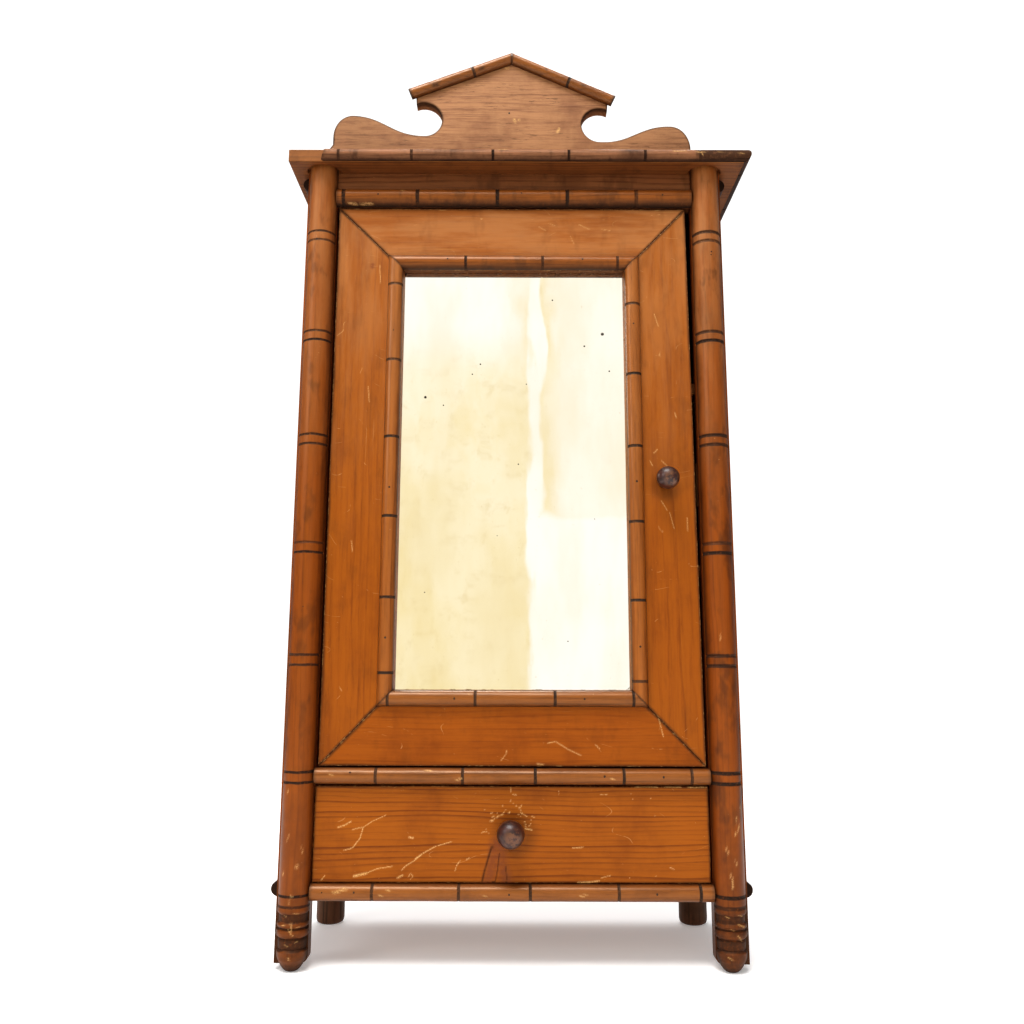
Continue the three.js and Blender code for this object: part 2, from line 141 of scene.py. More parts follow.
def ring_depth(s, rings, half):
    """How deep a place lies in the nearest ring: 1 at its middle line, 0 outside it."""
    return max([0.0] + [1 - abs(s - r) / half for r in rings])


def ring_stain(s, rings, half):
    """How dark the ink of the nearest ring is: some rings are worn to a red brown."""
    strengths = [min(1, 0.95 + 0.45 * ripple(r / 7, 3.3, 0, 11)) for r in rings]
    shares = [min(1.0, max(0.0, (1.3 - abs(s - r) / half) / 0.35)) for r in rings]
    return max([0.0] + [k * share for k, share in zip(strengths, shares)])


def distances(places, path):
    """How far each place is from a line through path, in the same plane."""
    nearest = np.full(len(places), 1e9)
    for a, b in zip(np.array(path[:-1], float), np.array(path[1:], float)):
        along = np.clip((places - a) @ (b - a) / max((b - a) @ (b - a), 1e-9), 0, 1)
        nearest = np.minimum(nearest, np.linalg.norm(places - a - along[:, None] * (b - a), axis=1))
    return nearest


def stroke(places, path, width):
    """1 on a line through path, falling to 0 just outside its width."""
    return np.clip(1.35 - distances(places, path) / (width / 2), 0, 1)


def painted(points, marks):
    """The strongest of some marks at each point, seen from the front: marks are (path, width)."""
    seen = np.asarray(points)[:, [0, 2]]
    value = np.zeros(len(seen))
    for path, width in marks:
        path = path if len(path) > 1 else [path[0], (path[0][0] + 0.01, path[0][1])]
        value = np.maximum(value, stroke(seen, path, width))
    return value


RING_HALF, RING_CUT = 1.0, 0.4
STICK_STEPS = 16


def stick(
    start, along, across, out, length, width, proud, rings=(),
    cuts=None, ragged=0.0, inked=0.6, seed=0.0, half=RING_HALF,
):
    """Points, faces and values of a half-round stick, its rings cut in and stained.

    start is the middle of its flat side at one end. cuts holds (place, slope) of the plane at each end,
    ragged breaks the first end, and inked is how dark both are.
    """
    along, across, out = (np.array(v, float) for v in (along, across, out))
    (c0, k0), (c1, k1) = cuts or ((0, 0), (length, 0))
    sections, stain_and_shade, height = [], [], []
    for s in stations(length, rings, half):
        groove = RING_CUT * ring_depth(s, rings, half)
        dark = ring_stain(s, rings, half)
        section = []
        for i in range(STICK_STEPS + 1):
            a = math.pi * i / STICK_STEPS
            wobble = 1 + 0.018 * ripple(s / 22, a, 0, seed) - groove / proud
            uneven = 0.02 * ripple(s / 30, 4 * round(math.cos(a)), 2, seed)
            w = math.cos(a) * width / 2 * (1 + uneven - groove / width)
            h = max(0.0, math.sin(a) * proud * wobble)
            torn = ragged * (ripple(w * 0.55, h * 0.55, 5, seed) + 0.5 * ripple(w * 1.7, h * 1.7, 9, seed))
            place = min(max(s, c0 + k0 * w + torn), c1 + k1 * w)
            section.append(np.array(start, float) + along * place + across * w + out * h)
            near_end = min(abs(place - c0 - k0 * w), abs(c1 + k1 * w - place))
            stain_and_shade.append(max(dark, inked * min(1.0, max(0.0, 1.5 - near_end / 0.7))))
            height.append(h)
        sections.append(np.array(section))
    points, faces = loft(sections)
    return points, faces, {"stain_and_shade": np.array(stain_and_shade), "edge": np.array(height)}


def grid(across, rows):
    """Faces of a grid of points laid row by row, and the points of its rim in order."""
    quads = [(i, i + 1, i + across + 1, i + across)
             for r in range(rows - 1) for i in range(r * across, (r + 1) * across - 1)]
    rim = list(range(across)) + [r * across + across - 1 for r in range(1, rows)]
    rim += [(rows - 1) * across + c for c in range(across - 2, -1, -1)]
    rim += [r * across for r in range(rows - 2, 0, -1)]
    return quads, rim


def near_edges(size, spacing):
    """Shares of a board's width or height: close together at both edges, even between them."""
    rim = np.array([0, 0.12, 0.3, 0.55, 0.9, 1.4]) / size
    inner = np.linspace(rim[-1], 1 - rim[-1], max(2, round(size / spacing)))
    return np.concatenate([rim[:-1], inner, 1 - rim[-2::-1]])


# how deep the front's strip of side goes, and the edge value of what lies behind it
SKIRT, FAR_FROM_EDGE = 1.8, 2.5


def worn_front(corners, y, spacing, soft, seed):
    """The front of a flat board with four corners, its edges worn round, and the strip of side around it.

    The strip ends SKIRT behind the front. Values are the distance of each point from the board's edge.
    """
    corners = [np.array(c, float) for c in corners]
    sides = list(zip(corners, corners[1:] + corners[:1]))
    lengths = [np.linalg.norm(b - a) for a, b in sides]
    normals = [np.array([a[1] - b[1], b[0] - a[0]]) / size for (a, b), size in zip(sides, lengths)]
    us = near_edges(max(lengths[0], lengths[2]), spacing)
    vs = near_edges(max(lengths[1], lengths[3]), spacing)
    points, edge = [], []
    for v in vs:
        left = corners[0] + (corners[3] - corners[0]) * v
        right = corners[1] + (corners[2] - corners[1]) * v
        for u in us:
            x, z = left + (right - left) * u
            gap = min(abs((x - a[0]) * n[0] + (z - a[1]) * n[1]) for (a, _), n in zip(sides, normals))
            dent = 0.6 * max(0, ripple(x / 3.2, z / 3.2, 3, seed))
            worn = soft * (1 + 0.5 * ripple(x / 9, z / 9, 0, seed) + dent)
            reach = max(0.0, worn - gap)
            back = worn - math.sqrt(max(0.0, worn * worn - reach * reach))
            points.append((x, y + back + 0.05 + 0.05 * ripple(x / 40, z / 40, 7, seed), z))
            edge.append(gap)
    faces, rim = grid(len(us), len(vs))
    first = len(points)
    points += [(points[i][0], y + SKIRT, points[i][2]) for i in rim]
    edge += [FAR_FROM_EDGE] * len(rim)
    for i, start in enumerate(rim):
        j = (i + 1) % len(rim)
        faces.append((start, first + i, first + j, rim[j]))
    return points, faces, edge


def refaced(node, spacing, soft, seed, marks=(), hole=None):
    """A CAD board with a finely divided, worn front in place of its flat one: points, faces and values.

    The rest of the board is the CAD mesh itself, with its bores and rabbets. hole is (x, z, r) left open.
    """
    mesh = frame["nodes"][node].data
    solid = np.array([((v.co - ORIGIN) / MM)[:] for v in mesh.vertices])
    y = solid[:, 1].min()
    on_front = solid[:, 1] < y + 0.01
    flat = sorted({(round(x, 3), round(z, 3)) for x, z in solid[on_front][:, [0, 2]]})
    hull = [np.array(flat[i]) for i in convex_hull_2d([Vector(p) for p in flat])]
    turns = [
        np.cross(b - a, c - b) / np.linalg.norm(b - a) / np.linalg.norm(c - b)
        for a, b, c in zip(hull[-1:] + hull[:-1], hull, hull[1:] + hull[:1])
    ]
    corners = [p for p, turn in zip(hull, turns) if abs(turn) > 0.02]
    if sum(turns) < 0:
        corners.reverse()
    points, faces, edge = worn_front(corners, y, spacing, soft, seed)
    if hole:
        centres = np.array([np.mean([points[i] for i in f], axis=0) for f in faces])
        open_ = np.hypot(centres[:, 0] - hole[0], centres[:, 2] - hole[1]) < hole[2]
        faces = [f for f, gone in zip(faces, open_) if not gone]
    first = len(points)
    solid[on_front, 1] = y + SKIRT
    kept = [p.vertices[:] for p in mesh.polygons if not all(on_front[i] for i in p.vertices)]
    faces += [tuple(first + i for i in f) for f in kept]
    points = np.array(points + [tuple(p) for p in solid])
    values = {"edge": np.array(edge + [FAR_FROM_EDGE] * len(solid))}
    front = points[:, 1] < y + SKIRT - 0.1
    for key, paths in marks:
        values[key] = painted(points, paths) * front
    return points, faces, values


def turned(profile, around):
    """Closed sections of a turned shape about the local z axis from (radius, z) pairs."""
    angles = [2 * math.pi * j / around for j in range(around)]
    return [np.array([(r * math.cos(a), r * math.sin(a), z) for a in angles]) for r, z in profile]


# ---------------------------------------------------------------- materials


def colour(*display):
    """A display colour, 0 to 255 each, as linear RGBA."""
    linear = [((c / 255 + 0.055) / 1.055) ** 2.4 if c > 10 else c / 255 / 12.92 for c in display]
    return (*linear, 1.0)


class Shader:
    """The node tree of one material, with short names for the nodes it uses."""

    def __init__(self, name):
        self.material = bpy.data.materials.new(name)
        self.material.use_nodes = True
        self.tree = self.material.node_tree
        self.surface = self.tree.nodes["Principled BSDF"]
        self.mm = self.vector("SCALE", self.node("ShaderNodeTexCoord").outputs["Object"], 1 / MM)

    def node(self, kind, **settings):
        made = self.tree.nodes.new(kind)
        for key, value in settings.items():
            setattr(made, key, value)
        return made

    def feed(self, socket, value):
        if isinstance(value, bpy.types.NodeSocket):
            self.tree.links.new(value, socket)
        else:
            socket.default_value = value

    def math(self, operation, *values):
        made = self.node("ShaderNodeMath", operation=operation)
        for socket, value in zip(made.inputs, values):
            self.feed(socket, value)
        return made.outputs[0]

    def times(self, a, b):
        return self.math("MULTIPLY", a, b)

    def plus(self, a, b):
        return self.math("ADD", a, b)

    def minus(self, a, b):
        return self.math("SUBTRACT", a, b)

    def swing(self, cloud, size):
        """A noise from 0 to 1 as an offset of up to half of size either way."""
        return self.times(self.minus(cloud, 0.5), size)

    def split(self):
        """The x, y and z of each place, in millimetres."""
        parts = self.node("ShaderNodeSeparateXYZ")
        self.feed(parts.inputs[0], self.mm)
        return parts.outputs

    def shifted(self, x, y, z):
        return self.vector("ADD", self.mm, (x, y, z))

    def paint(self, share, tone):
        """Lays a colour over the base where share is 1."""
        self.base = self.mix(share, self.base, tone)

    def sink(self, height):
        self.height = self.minus(self.height, height)

    def vector(self, operation, a, b):
        made = self.node("ShaderNodeVectorMath", operation=operation)
        self.feed(made.inputs[0], a)
        self.feed(made.inputs["Scale"] if operation == "SCALE" else made.inputs[1], b)
        return made.outputs["Value" if operation in ("LENGTH", "DOT_PRODUCT", "DISTANCE") else "Vector"]

    def combine(self, x, y, z):
        made = self.node("ShaderNodeCombineXYZ")
        for socket, value in zip(made.inputs, (x, y, z)):
            self.feed(socket, value)
        return made.outputs[0]

    def noise(self, place, size, detail=2.0, rough=0.5):
        """Noise from 0 to 1 whose features are about size millimetres along each axis of place."""
        made = self.node("ShaderNodeTexNoise")
        scaled = self.vector("MULTIPLY", place, [1 / s for s in size])
        for key, value in (("Vector", scaled), ("Scale", 1.0), ("Detail", detail), ("Roughness", rough)):
            self.feed(made.inputs[key], value)
        return made.outputs["Fac"]

    def smooth(self, value, low, high, to_low=0.0, to_high=1.0):
        made = self.node("ShaderNodeMapRange", interpolation_type="SMOOTHSTEP")
        for socket, v in zip(made.inputs, (value, low, high, to_low, to_high)):
            self.feed(socket, v)
        return made.outputs[0]

    def mix(self, factor, a, b, blend="MIX"):
        made = self.node("ShaderNodeMix", data_type="RGBA", blend_type=blend, clamp_factor=True)
        self.feed(made.inputs[0], factor)
        self.feed(made.inputs[6], a)
        self.feed(made.inputs[7], b)
        return made.outputs[2]

    def attribute(self, name):
        return self.node("ShaderNodeAttribute", attribute_name=name).outputs["Fac"]

    def bump(self, height, distance, strength=1.0):
        made = self.node("ShaderNodeBump")
        self.feed(made.inputs["Strength"], strength)
        self.feed(made.inputs["Distance"], distance * MM)
        self.feed(made.inputs["Height"], height)
        return made.outputs[0]

    def finish(self, base, roughness, normal=None, **uniform):
        self.feed(self.surface.inputs["Base Color"], base)
        self.feed(self.surface.inputs["Roughness"], roughness)
        if normal is not None:
            self.feed(self.surface.inputs["Normal"], normal)
        for key, value in uniform.items():
            self.surface.inputs[key.replace("_", " ")].default_value = value
        return self.material


PALE_CHIP = colour(224, 178, 116)
# dark brown of the ring ink and stains, also used for painted shade
STAIN_AND_SHADE_TONE = colour(34, 20, 15)
# dark brown for dirt and smoke, also used for painted shade along edges, in creases and under the knobs
GRIME_AND_SHADE = colour(46, 24, 13)
# pinkish tan of the painted sheen on the upper parts
SHEEN_TONE = colour(196, 140, 90)
BARE_PINE = colour(184, 122, 66)
KNOT = colour(118, 62, 34)
SHELLAC_SHEEN = (1.0, 0.75, 0.55, 1.0)
# the places of the length, the width and the depth in (x, y, z), for each grain direction
GRAIN_AXES = {"x": (0, 2, 1), "y": (1, 0, 2), "z": (2, 0, 1)}


def warmer(light):
    """A redder and slightly lighter tone of a wood's light colour."""
    return (min(1, light[0] * 1.16), light[1] * 1.05, light[2] * 1.1, 1.0)


def grow(s, across, depth, light, dark, pith, spacing, contrast, streaks, patina):
    """Growth rings round the pith, fibres and pores along the grain, and broad blotches."""
    wander = s.swing(s.noise(s.grain, (210, 44, 44), 2), 11.0)
    flutter = s.swing(s.noise(s.grain, (44, 8, 8), 2), 1.1)
    centred = s.combine(s.minus(across, pith[0]), s.minus(depth, pith[1]), 0.0)
    radius = s.vector("LENGTH", centred, (0, 0, 0))
    years = s.math("DIVIDE", s.plus(radius, s.plus(wander, flutter)), spacing)
    season = s.math("FRACT", years)
    year_tone = s.node("ShaderNodeTexWhiteNoise", noise_dimensions="1D")
    s.feed(year_tone.inputs["W"], s.math("FLOOR", years))
    late = s.times(s.smooth(season, 0.45, 0.9), s.smooth(season, 1.0, 0.92))
    late = s.times(late, s.smooth(year_tone.outputs["Value"], 0.0, 1.0, 0.3, 1.0))
    streak = s.noise(s.grain, (120, 4.5, 4.5), 3, 0.6)
    fibre = s.noise(s.grain, (24, 1.5, 1.5), 4, 0.72)
    pores = s.smooth(s.noise(s.grain, (6, 0.42, 0.42), 2, 0.6), 0.63, 0.76)
    tone = s.plus(s.times(late, contrast), s.times(s.minus(streak, 0.48), 2.2 * streaks))
    tone = s.plus(tone, s.swing(fibre, 2.4 * streaks))
    tone = s.plus(tone, s.times(pores, 0.4))
    s.base = s.mix(s.smooth(tone, -0.25, 1.1), light, dark)
    s.paint(s.times(s.smooth(s.blotch, 0.45, 0.75), patina), dark)
    s.paint(s.times(s.smooth(s.blotch, 0.46, 0.25), patina * 0.5), warmer(light))
    s.height = s.plus(s.times(late, 0.35), s.times(fibre, 0.35))
    s.sink(s.times(pores, 0.5))


def fade(s, strength):
    """Painted sheen: pinkish-tan patches that stand for the sky's reflection, from the middle of the
    cabinet up.
    """
    up = s.plus(s.z, s.swing(s.blotch, 160.0))
    patch = s.smooth(s.noise(s.grain, (80, 13, 13), 4, 0.65), 0.36, 0.62, 0.45, 1.2)
    s.paint(s.times(s.times(s.smooth(up, 260, 620), patch), strength), SHEEN_TONE)


def smoke(s, strength):
    """Dark clouds."""
    cloud = s.noise(s.shifted(0, 29.0 * s.seed, 13.0), (15, 15, 34), 3, 0.65)
    s.paint(s.times(s.smooth(cloud, 0.52, 0.68), strength), GRIME_AND_SHADE)


def dashes(s, strength):
    """Short dark open pores, in patches."""
    dash = s.smooth(s.noise(s.grain, (9, 1.3, 1.3), 3, 0.65), 0.56, 0.64)
    gate = s.smooth(s.noise(s.grain, (60, 20, 20), 3, 0.6), 0.4, 0.62)
    s.paint(s.times(s.times(dash, gate), strength), GRIME_AND_SHADE)
    s.sink(s.times(dash, 0.5))


def soil(s, strength):
    """Darker on the lowest stretch, near the floor."""
    up = s.plus(s.z, s.swing(s.blotch, 40.0))
    s.paint(s.times(s.smooth(up, 80, 30), strength), GRIME_AND_SHADE)


def bare(s, front):
    """Wood without shellac on the face whose y is front, where the moulding broke off."""
    face = s.smooth(s.y, front + 0.8, front + 0.3, 0.0, 0.5)
    s.paint(s.times(face, s.smooth(s.blotch, 0.62, 0.4, 0.45, 1.0)), BARE_PINE)


def halo(s, hands):
    """The dirt that hands left round a knob, and a painted shadow of the knob: round_knob sets its centre a
    little below the knob. hands is x, z and radius.
    """
    x, z, radius = hands
    away = s.vector("DISTANCE", s.combine(s.x, 0.0, s.z), (x, 0.0, z))
    away = s.plus(away, s.swing(s.blotch, radius))
    s.paint(s.smooth(away, radius * 1.6, radius * 0.7, 0.0, 0.38), GRIME_AND_SHADE)


def grime(s, strength):
    """Dirt along the edges, and painted shade: darker along the edges of boards, in the creases at the foot
    of sticks and on the sides of columns and mouldings.
    """
    inside = s.plus(s.attribute("edge"), s.swing(s.blotch, s.reach * 1.6))
    s.paint(s.times(s.smooth(inside, s.reach, 0.0), strength), GRIME_AND_SHADE)


def wear(s, strength):
    """Bared spots on the very edge."""
    rubbed = s.times(s.smooth(s.attribute("edge"), 0.9, 0.3), s.smooth(s.spots, 0.52, 0.64))
    s.paint(s.times(rubbed, strength), PALE_CHIP)


def hairs(s, strength):
    """Thin pale scratches along the grain, in patches."""
    hair = s.smooth(s.noise(s.grain, (80, 0.7, 0.7), 2, 0.6), 0.69, 0.73)
    gate = s.smooth(s.noise(s.grain, (60, 22, 22), 3, 0.6), 0.5, 0.62)
    s.paint(s.times(s.times(hair, gate), strength), PALE_CHIP)


def scuffs(s, strength):
    """Long thin curved scratches: level lines of a smooth noise, broken up by another."""
    level = s.noise(s.shifted(0, 0, 97.0 * s.seed + 31), (60, 60, 26), 1, 0.4)
    phase = s.math("FRACT", s.times(level, 8.0))
    line = s.smooth(s.math("ABSOLUTE", s.minus(phase, 0.5)), 0.022, 0.006)
    gate = s.noise(s.shifted(61.0 * s.seed, 9, 0), (17, 17, 17), 3, 0.7)
    line = s.times(line, s.smooth(gate, 0.57, 0.64))
    s.paint(s.times(line, strength), PALE_CHIP)


def chips(s, strength):
    """Small seeded chips, in patches."""
    speck = s.noise(s.shifted(0, 7, 41.0 * s.seed), (1.9, 1.9, 1.2), 3, 0.65)
    where = s.smooth(s.noise(s.mm, (24, 24, 24), 2), 0.48, 0.62)
    chip = s.times(s.times(s.smooth(speck, 0.71, 0.75), where), strength)
    s.paint(chip, PALE_CHIP)
    s.sink(s.times(chip, 1.2))


def drawn_marks(s):
    """The knots, the stains and the chips that the pieces carry as attributes. The stains also hold painted
    shade under level mouldings and on the edge above the glass.
    """
    grit = s.noise(s.mm, (0.8, 0.8, 0.8), 2, 0.6)
    mark = s.times(s.attribute("chip"), s.smooth(grit, 0.36, 0.6, 0.15, 0.9))
    s.paint(s.times(s.attribute("knot"), s.smooth(s.spots, 0.3, 0.6, 0.4, 0.8)), KNOT)
    # stains, and the painted shade held in the same attribute
    s.paint(s.times(s.attribute("stain_and_shade"), s.smooth(s.spots, 0.3, 0.5, 0.68, 1.0)), STAIN_AND_SHADE_TONE)
    s.paint(mark, PALE_CHIP)
    s.rough = s.plus(s.rough, s.times(s.attribute("stain_and_shade"), 0.4))
    s.rough = s.plus(s.rough, s.times(mark, 0.25))
    s.sink(s.times(mark, 0.8))


# the ageing marks, the painted sheen and the painted shade, laid over each other in this order
AGEING_AND_PAINTED_LIGHT = (fade, smoke, dashes, soil, bare, halo, grime, wear, hairs, scuffs, chips)


def wood(
    name, light, dark, axis, pith, spacing, contrast, streaks=0.5,
    patina=0.35, roughness=0.42, gloss=0.3, reach=4.0, seed=0, **signs,
):
    """Sawn or turned pine under old shellac. Growth rings run round a pith line along the grain axis.

    pith is (across, depth) and spacing the width of a year. contrast, streaks and patina are the strengths
    of rings, fibres and blotches. signs holds what each laid-over function is told, by the function's name,
    and reach is how far the grime and painted shade spread from an edge.
    """
    s = Shader(name)
    s.seed = seed
    s.reach = reach
    s.x, s.y, s.z = s.split()
    along, across, depth = ((s.x, s.y, s.z)[i] for i in GRAIN_AXES[axis])
    s.grain = s.combine(s.plus(along, 311.0 * seed), across, depth)
    s.blotch = s.noise(s.shifted(53.0 * seed, 0, 0), (52, 52, 70), 5, 0.65)
    s.spots = s.noise(s.mm, (2.2, 2.2, 2.2), 3, 0.65)
    s.rough = s.plus(roughness - 0.06, s.times(s.blotch, 0.12))
    grow(s, across, depth, colour(*light), colour(*dark), pith, spacing, contrast, streaks, patina)
    for lay in AGEING_AND_PAINTED_LIGHT:
        if lay.__name__ in signs:
            lay(s, signs[lay.__name__])
    drawn_marks(s)
    bump = s.bump(s.height, 0.12, 0.7)
    return s.finish(s.base, s.rough, bump, Specular_IOR_Level=gloss, Specular_Tint=SHELLAC_SHEEN)


def round_knob(node, dx, dz, radius):
    """The dirt and painted shadow round a knob, for the shader: x, z and radius, the centre moved by dx and
    dz.
    """
    knob_at = middle(node)
    return (ORIGIN.x / MM + knob_at.x + dx, knob_at.z + dz, radius)


MATERIALS = {
    "drawer": wood(
        "pine_drawer", (157, 87, 16), (103, 46, 7), "x", (10, 16), 2.7, 0.75, 0.35,
        patina=0.5, roughness=0.45, grime=0.8, reach=2.2, wear=0.3, scuffs=0.25, chips=0.8,
        halo=round_knob("drawer_knob", 3, -3, 12), seed=3,
    ),
    "rail": wood(
        "pine_rail", (152, 81, 16), (106, 46, 7), "x", (-120, 40), 4.2, 0.3, 0.45,
        patina=0.55, gloss=0.25, fade=0.42, grime=0.8, reach=2.4, smoke=0.14, hairs=0.45, wear=0.35,
        scuffs=0.35, chips=0.4, seed=1,
    ),
    "stile": wood(
        "pine_stile", (153, 83, 15), (108, 48, 8), "z", (60, -160), 4.6, 0.3, 0.5,
        patina=0.55, fade=0.35, grime=0.8, reach=2.4, smoke=0.14, hairs=0.3, wear=0.35,
        scuffs=0.3, chips=0.35, halo=round_knob("door_knob", 0, -4, 9), seed=2,
    ),
    "upright": wood(
        "pine_upright", (150, 78, 30), (100, 50, 18), "z", (90, 60), 3.6, 0.6,
        smoke=0.5, soil=0.85, seed=5,
    ),
    "side": wood(
        "pine_side", (140, 74, 26), (96, 44, 14), "z", (20, -30), 4.4, 0.8,
        scuffs=0.4, chips=0.4, smoke=0.3, soil=0.7, seed=6,
    ),
    "cornice": wood(
        "pine_cornice", (124, 74, 37), (72, 37, 17), "x", (24, 660), 3.4, 0.6,
        roughness=0.5, smoke=0.3, bare=(ORIGIN.y + span("cornice_board")[0].y * MM) / MM, seed=7,
    ),
    "frieze": wood(
        "pine_frieze", (138, 88, 54), (88, 50, 28), "x", (24, 620), 3.0, 0.5, 0.6,
        patina=0.5, roughness=0.4, smoke=0.3, chips=0.3, seed=27,
    ),
    "shelf": wood(
        "pine_shelf", (158, 100, 54), (112, 62, 28), "x", (40, 330), 3.8, 0.7,
        roughness=0.55, seed=8,
    ),
    # the wide reach of the edge darkening shades the sides of the columns: painted shade
    "column": wood(
        "column_wood", (138, 71, 13), (84, 37, 8), "z", (40, 40), 3.4, 0.3, 0.45,
        patina=0.6, roughness=0.38, gloss=0.42, fade=0.3, smoke=0.35, grime=0.8, reach=8.0,
        chips=0.6, seed=9,
    ),
    "column_smoked": wood(
        "column_wood_smoked", (138, 70, 13), (80, 35, 7), "z", (40, 40), 3.4, 0.3, 0.45,
        patina=0.7, roughness=0.38, gloss=0.42, fade=0.35, smoke=0.5, grime=0.9, reach=9.0,
        chips=0.5, seed=19,
    ),
    "moulding": wood(
        "moulding_wood", (142, 84, 33), (85, 43, 14), "x", (30, 30), 3.0, 0.4, 0.6,
        patina=0.5, roughness=0.32, gloss=0.6, grime=0.85, reach=5.0, chips=0.7, seed=10,
    ),
    "moulding_z": wood(
        "moulding_wood_upright", (154, 90, 35), (94, 46, 14), "z", (30, 30), 3.0, 0.4, 0.6,
        patina=0.5, roughness=0.32, gloss=0.6, fade=0.25, grime=0.75, reach=4.5, chips=0.5, seed=11,
    ),
    "moulding_smoked": wood(
        "moulding_wood_smoked", (150, 86, 33), (78, 40, 15), "x", (30, 30), 3.0, 0.4, 0.6,
        patina=0.6, roughness=0.34, gloss=0.4, grime=0.95, reach=5.5, chips=0.6, smoke=0.4, seed=21,
    ),
    "dark_x": wood(
        "dark_wood_front", (152, 104, 73), (68, 41, 28), "x", (30, 30), 3.0, 0.5, 0.8,
        patina=0.9, roughness=0.5, grime=0.9, chips=1.0, smoke=0.6, seed=12,
    ),
    "dark_y": wood(
        "dark_wood_side", (70, 40, 24), (34, 20, 14), "y", (30, 30), 3.0, 0.5, 0.8,
        patina=0.8, grime=0.5, chips=0.6, seed=13,
    ),
    "dark_z": wood(
        "dark_wood_foot", (92, 60, 42), (42, 26, 18), "z", (30, 30), 3.0, 0.6, 0.8,
        patina=0.8, roughness=0.55, seed=14,
    ),
    "crest": wood(
        "crest_wood", (170, 123, 86), (108, 67, 46), "x", (560, 60), 3.6, 0.3, 1.0,
        patina=0.65, roughness=0.5, grime=0.8, reach=2.0, dashes=0.6, chips=0.35, smoke=0.04, seed=15,
    ),
    "raw": wood(
        "raw_wood", (196, 150, 104), (140, 96, 58), "z", (60, 220), 4.0, 0.8, 0.6,
        patina=0.3, roughness=0.75, seed=16,
    ),
    "raw_y": wood(
        "raw_wood_deep", (200, 156, 108), (146, 100, 62), "y", (0, 120), 3.2, 0.8, 0.6,
        patina=0.3, roughness=0.75, seed=17,
    ),
}


def knob_wood():
    s = Shader("knob_wood")
    spots = s.noise(s.mm, (5.0, 5.0, 5.0), 5, 0.6)
    base = s.mix(s.smooth(spots, 0.35, 0.65), colour(70, 36, 28), colour(44, 24, 20))
    rubs = s.noise(s.mm, (3.6, 3.6, 3.6), 4, 0.6)
    worn = s.times(s.attribute("worn"), s.smooth(rubs, 0.4, 0.56))
    base = s.mix(worn, base, colour(108, 68, 42))
    grit = s.smooth(s.noise(s.mm, (0.9, 0.9, 0.9), 2), 0.68, 0.76)
    base = s.mix(s.times(grit, 0.4), base, colour(160, 112, 74))
    height = s.plus(spots, s.times(grit, -0.4))
    rough = s.smooth(spots, 0.3, 0.7, 0.32, 0.48)
    return s.finish(base, rough, s.bump(height, 0.25, 0.8), Coat_Weight=0.15, Coat_Roughness=0.3)


# x, z and radius of the black spots where the silvering has gone
MIRROR_SPECKS = [
    (30.7, 493.8, 0.7), (69.9, 465.6, 1.4), (55.6, 455.6, 0.8), (-25.9, 440.6, 0.7), (-32.1, 432.4, 0.6),
    (-68.4, 413.6, 1.2), (-54.3, 407.2, 0.6), (10.1, 424.4, 0.5), (74.9, 435.2, 0.7), (4.0, 360.5, 0.6),
    (-12.0, 305.0, 0.4), (-66.0, 262.0, 0.5), (41.0, 226.0, 0.5), (62.0, 318.0, 0.4),
]


def old_mirror():
    s = Shader("old_mirror")
    across, _, up = s.split()
    flat = s.combine(across, 0.0, up)
    grit = s.noise(s.mm, (1.1, 1.1, 1.1), 3, 0.7)
    tint = s.noise(s.mm, (40, 40, 120), 3, 0.6)
    base = s.mix(s.smooth(tint, 0.35, 0.7), colour(252, 250, 246), colour(247, 242, 230))
    gone = 0.0
    for x, z, r in MIRROR_SPECKS:
        away = s.vector("DISTANCE", flat, (ORIGIN.x / MM + x, 0.0, z))
        gone = s.math("MAXIMUM", gone, s.smooth(away, r * 1.15, r * 0.6))
    gone = s.times(gone, s.smooth(grit, 0.3, 0.5, 0.5, 1.0))
    rot = s.plus(s.attribute("edge"), s.times(s.noise(s.mm, (4, 4, 4), 3, 0.7), -4.0))
    dull = s.smooth(rot, -2.0, -3.0)
    bloom = s.times(s.smooth(s.noise(s.mm, (2.4, 2.4, 2.4), 4, 0.7), 0.66, 0.74), 0.35)
    base = s.mix(bloom, base, colour(214, 196, 158))
    base = s.mix(gone, base, colour(40, 32, 22))
    base = s.mix(dull, base, colour(120, 98, 66))
    rough = s.plus(s.times(s.math("MAXIMUM", dull, gone), 0.4), s.smooth(tint, 0.3, 0.8, 0.01, 0.04))
    ripples = s.noise(s.mm, (9, 9, 34), 2, 0.5)
    return s.finish(base, rough, s.bump(ripples, 0.012, 0.5), Metallic=1.0)


def dull_iron():
    s = Shader("dull_iron")
    rust = s.noise(s.mm, (1.4, 1.4, 1.4), 4, 0.65)
    base = s.mix(s.smooth(rust, 0.4, 0.7), colour(66, 58, 52), colour(84, 48, 30))
    return s.finish(base, s.smooth(rust, 0.3, 0.7, 0.45, 0.75), s.bump(rust, 0.08), Metallic=0.8)


KNOB, MIRROR, IRON = knob_wood(), old_mirror(), dull_iron()

# ---------------------------------------------------------------- columns and feet

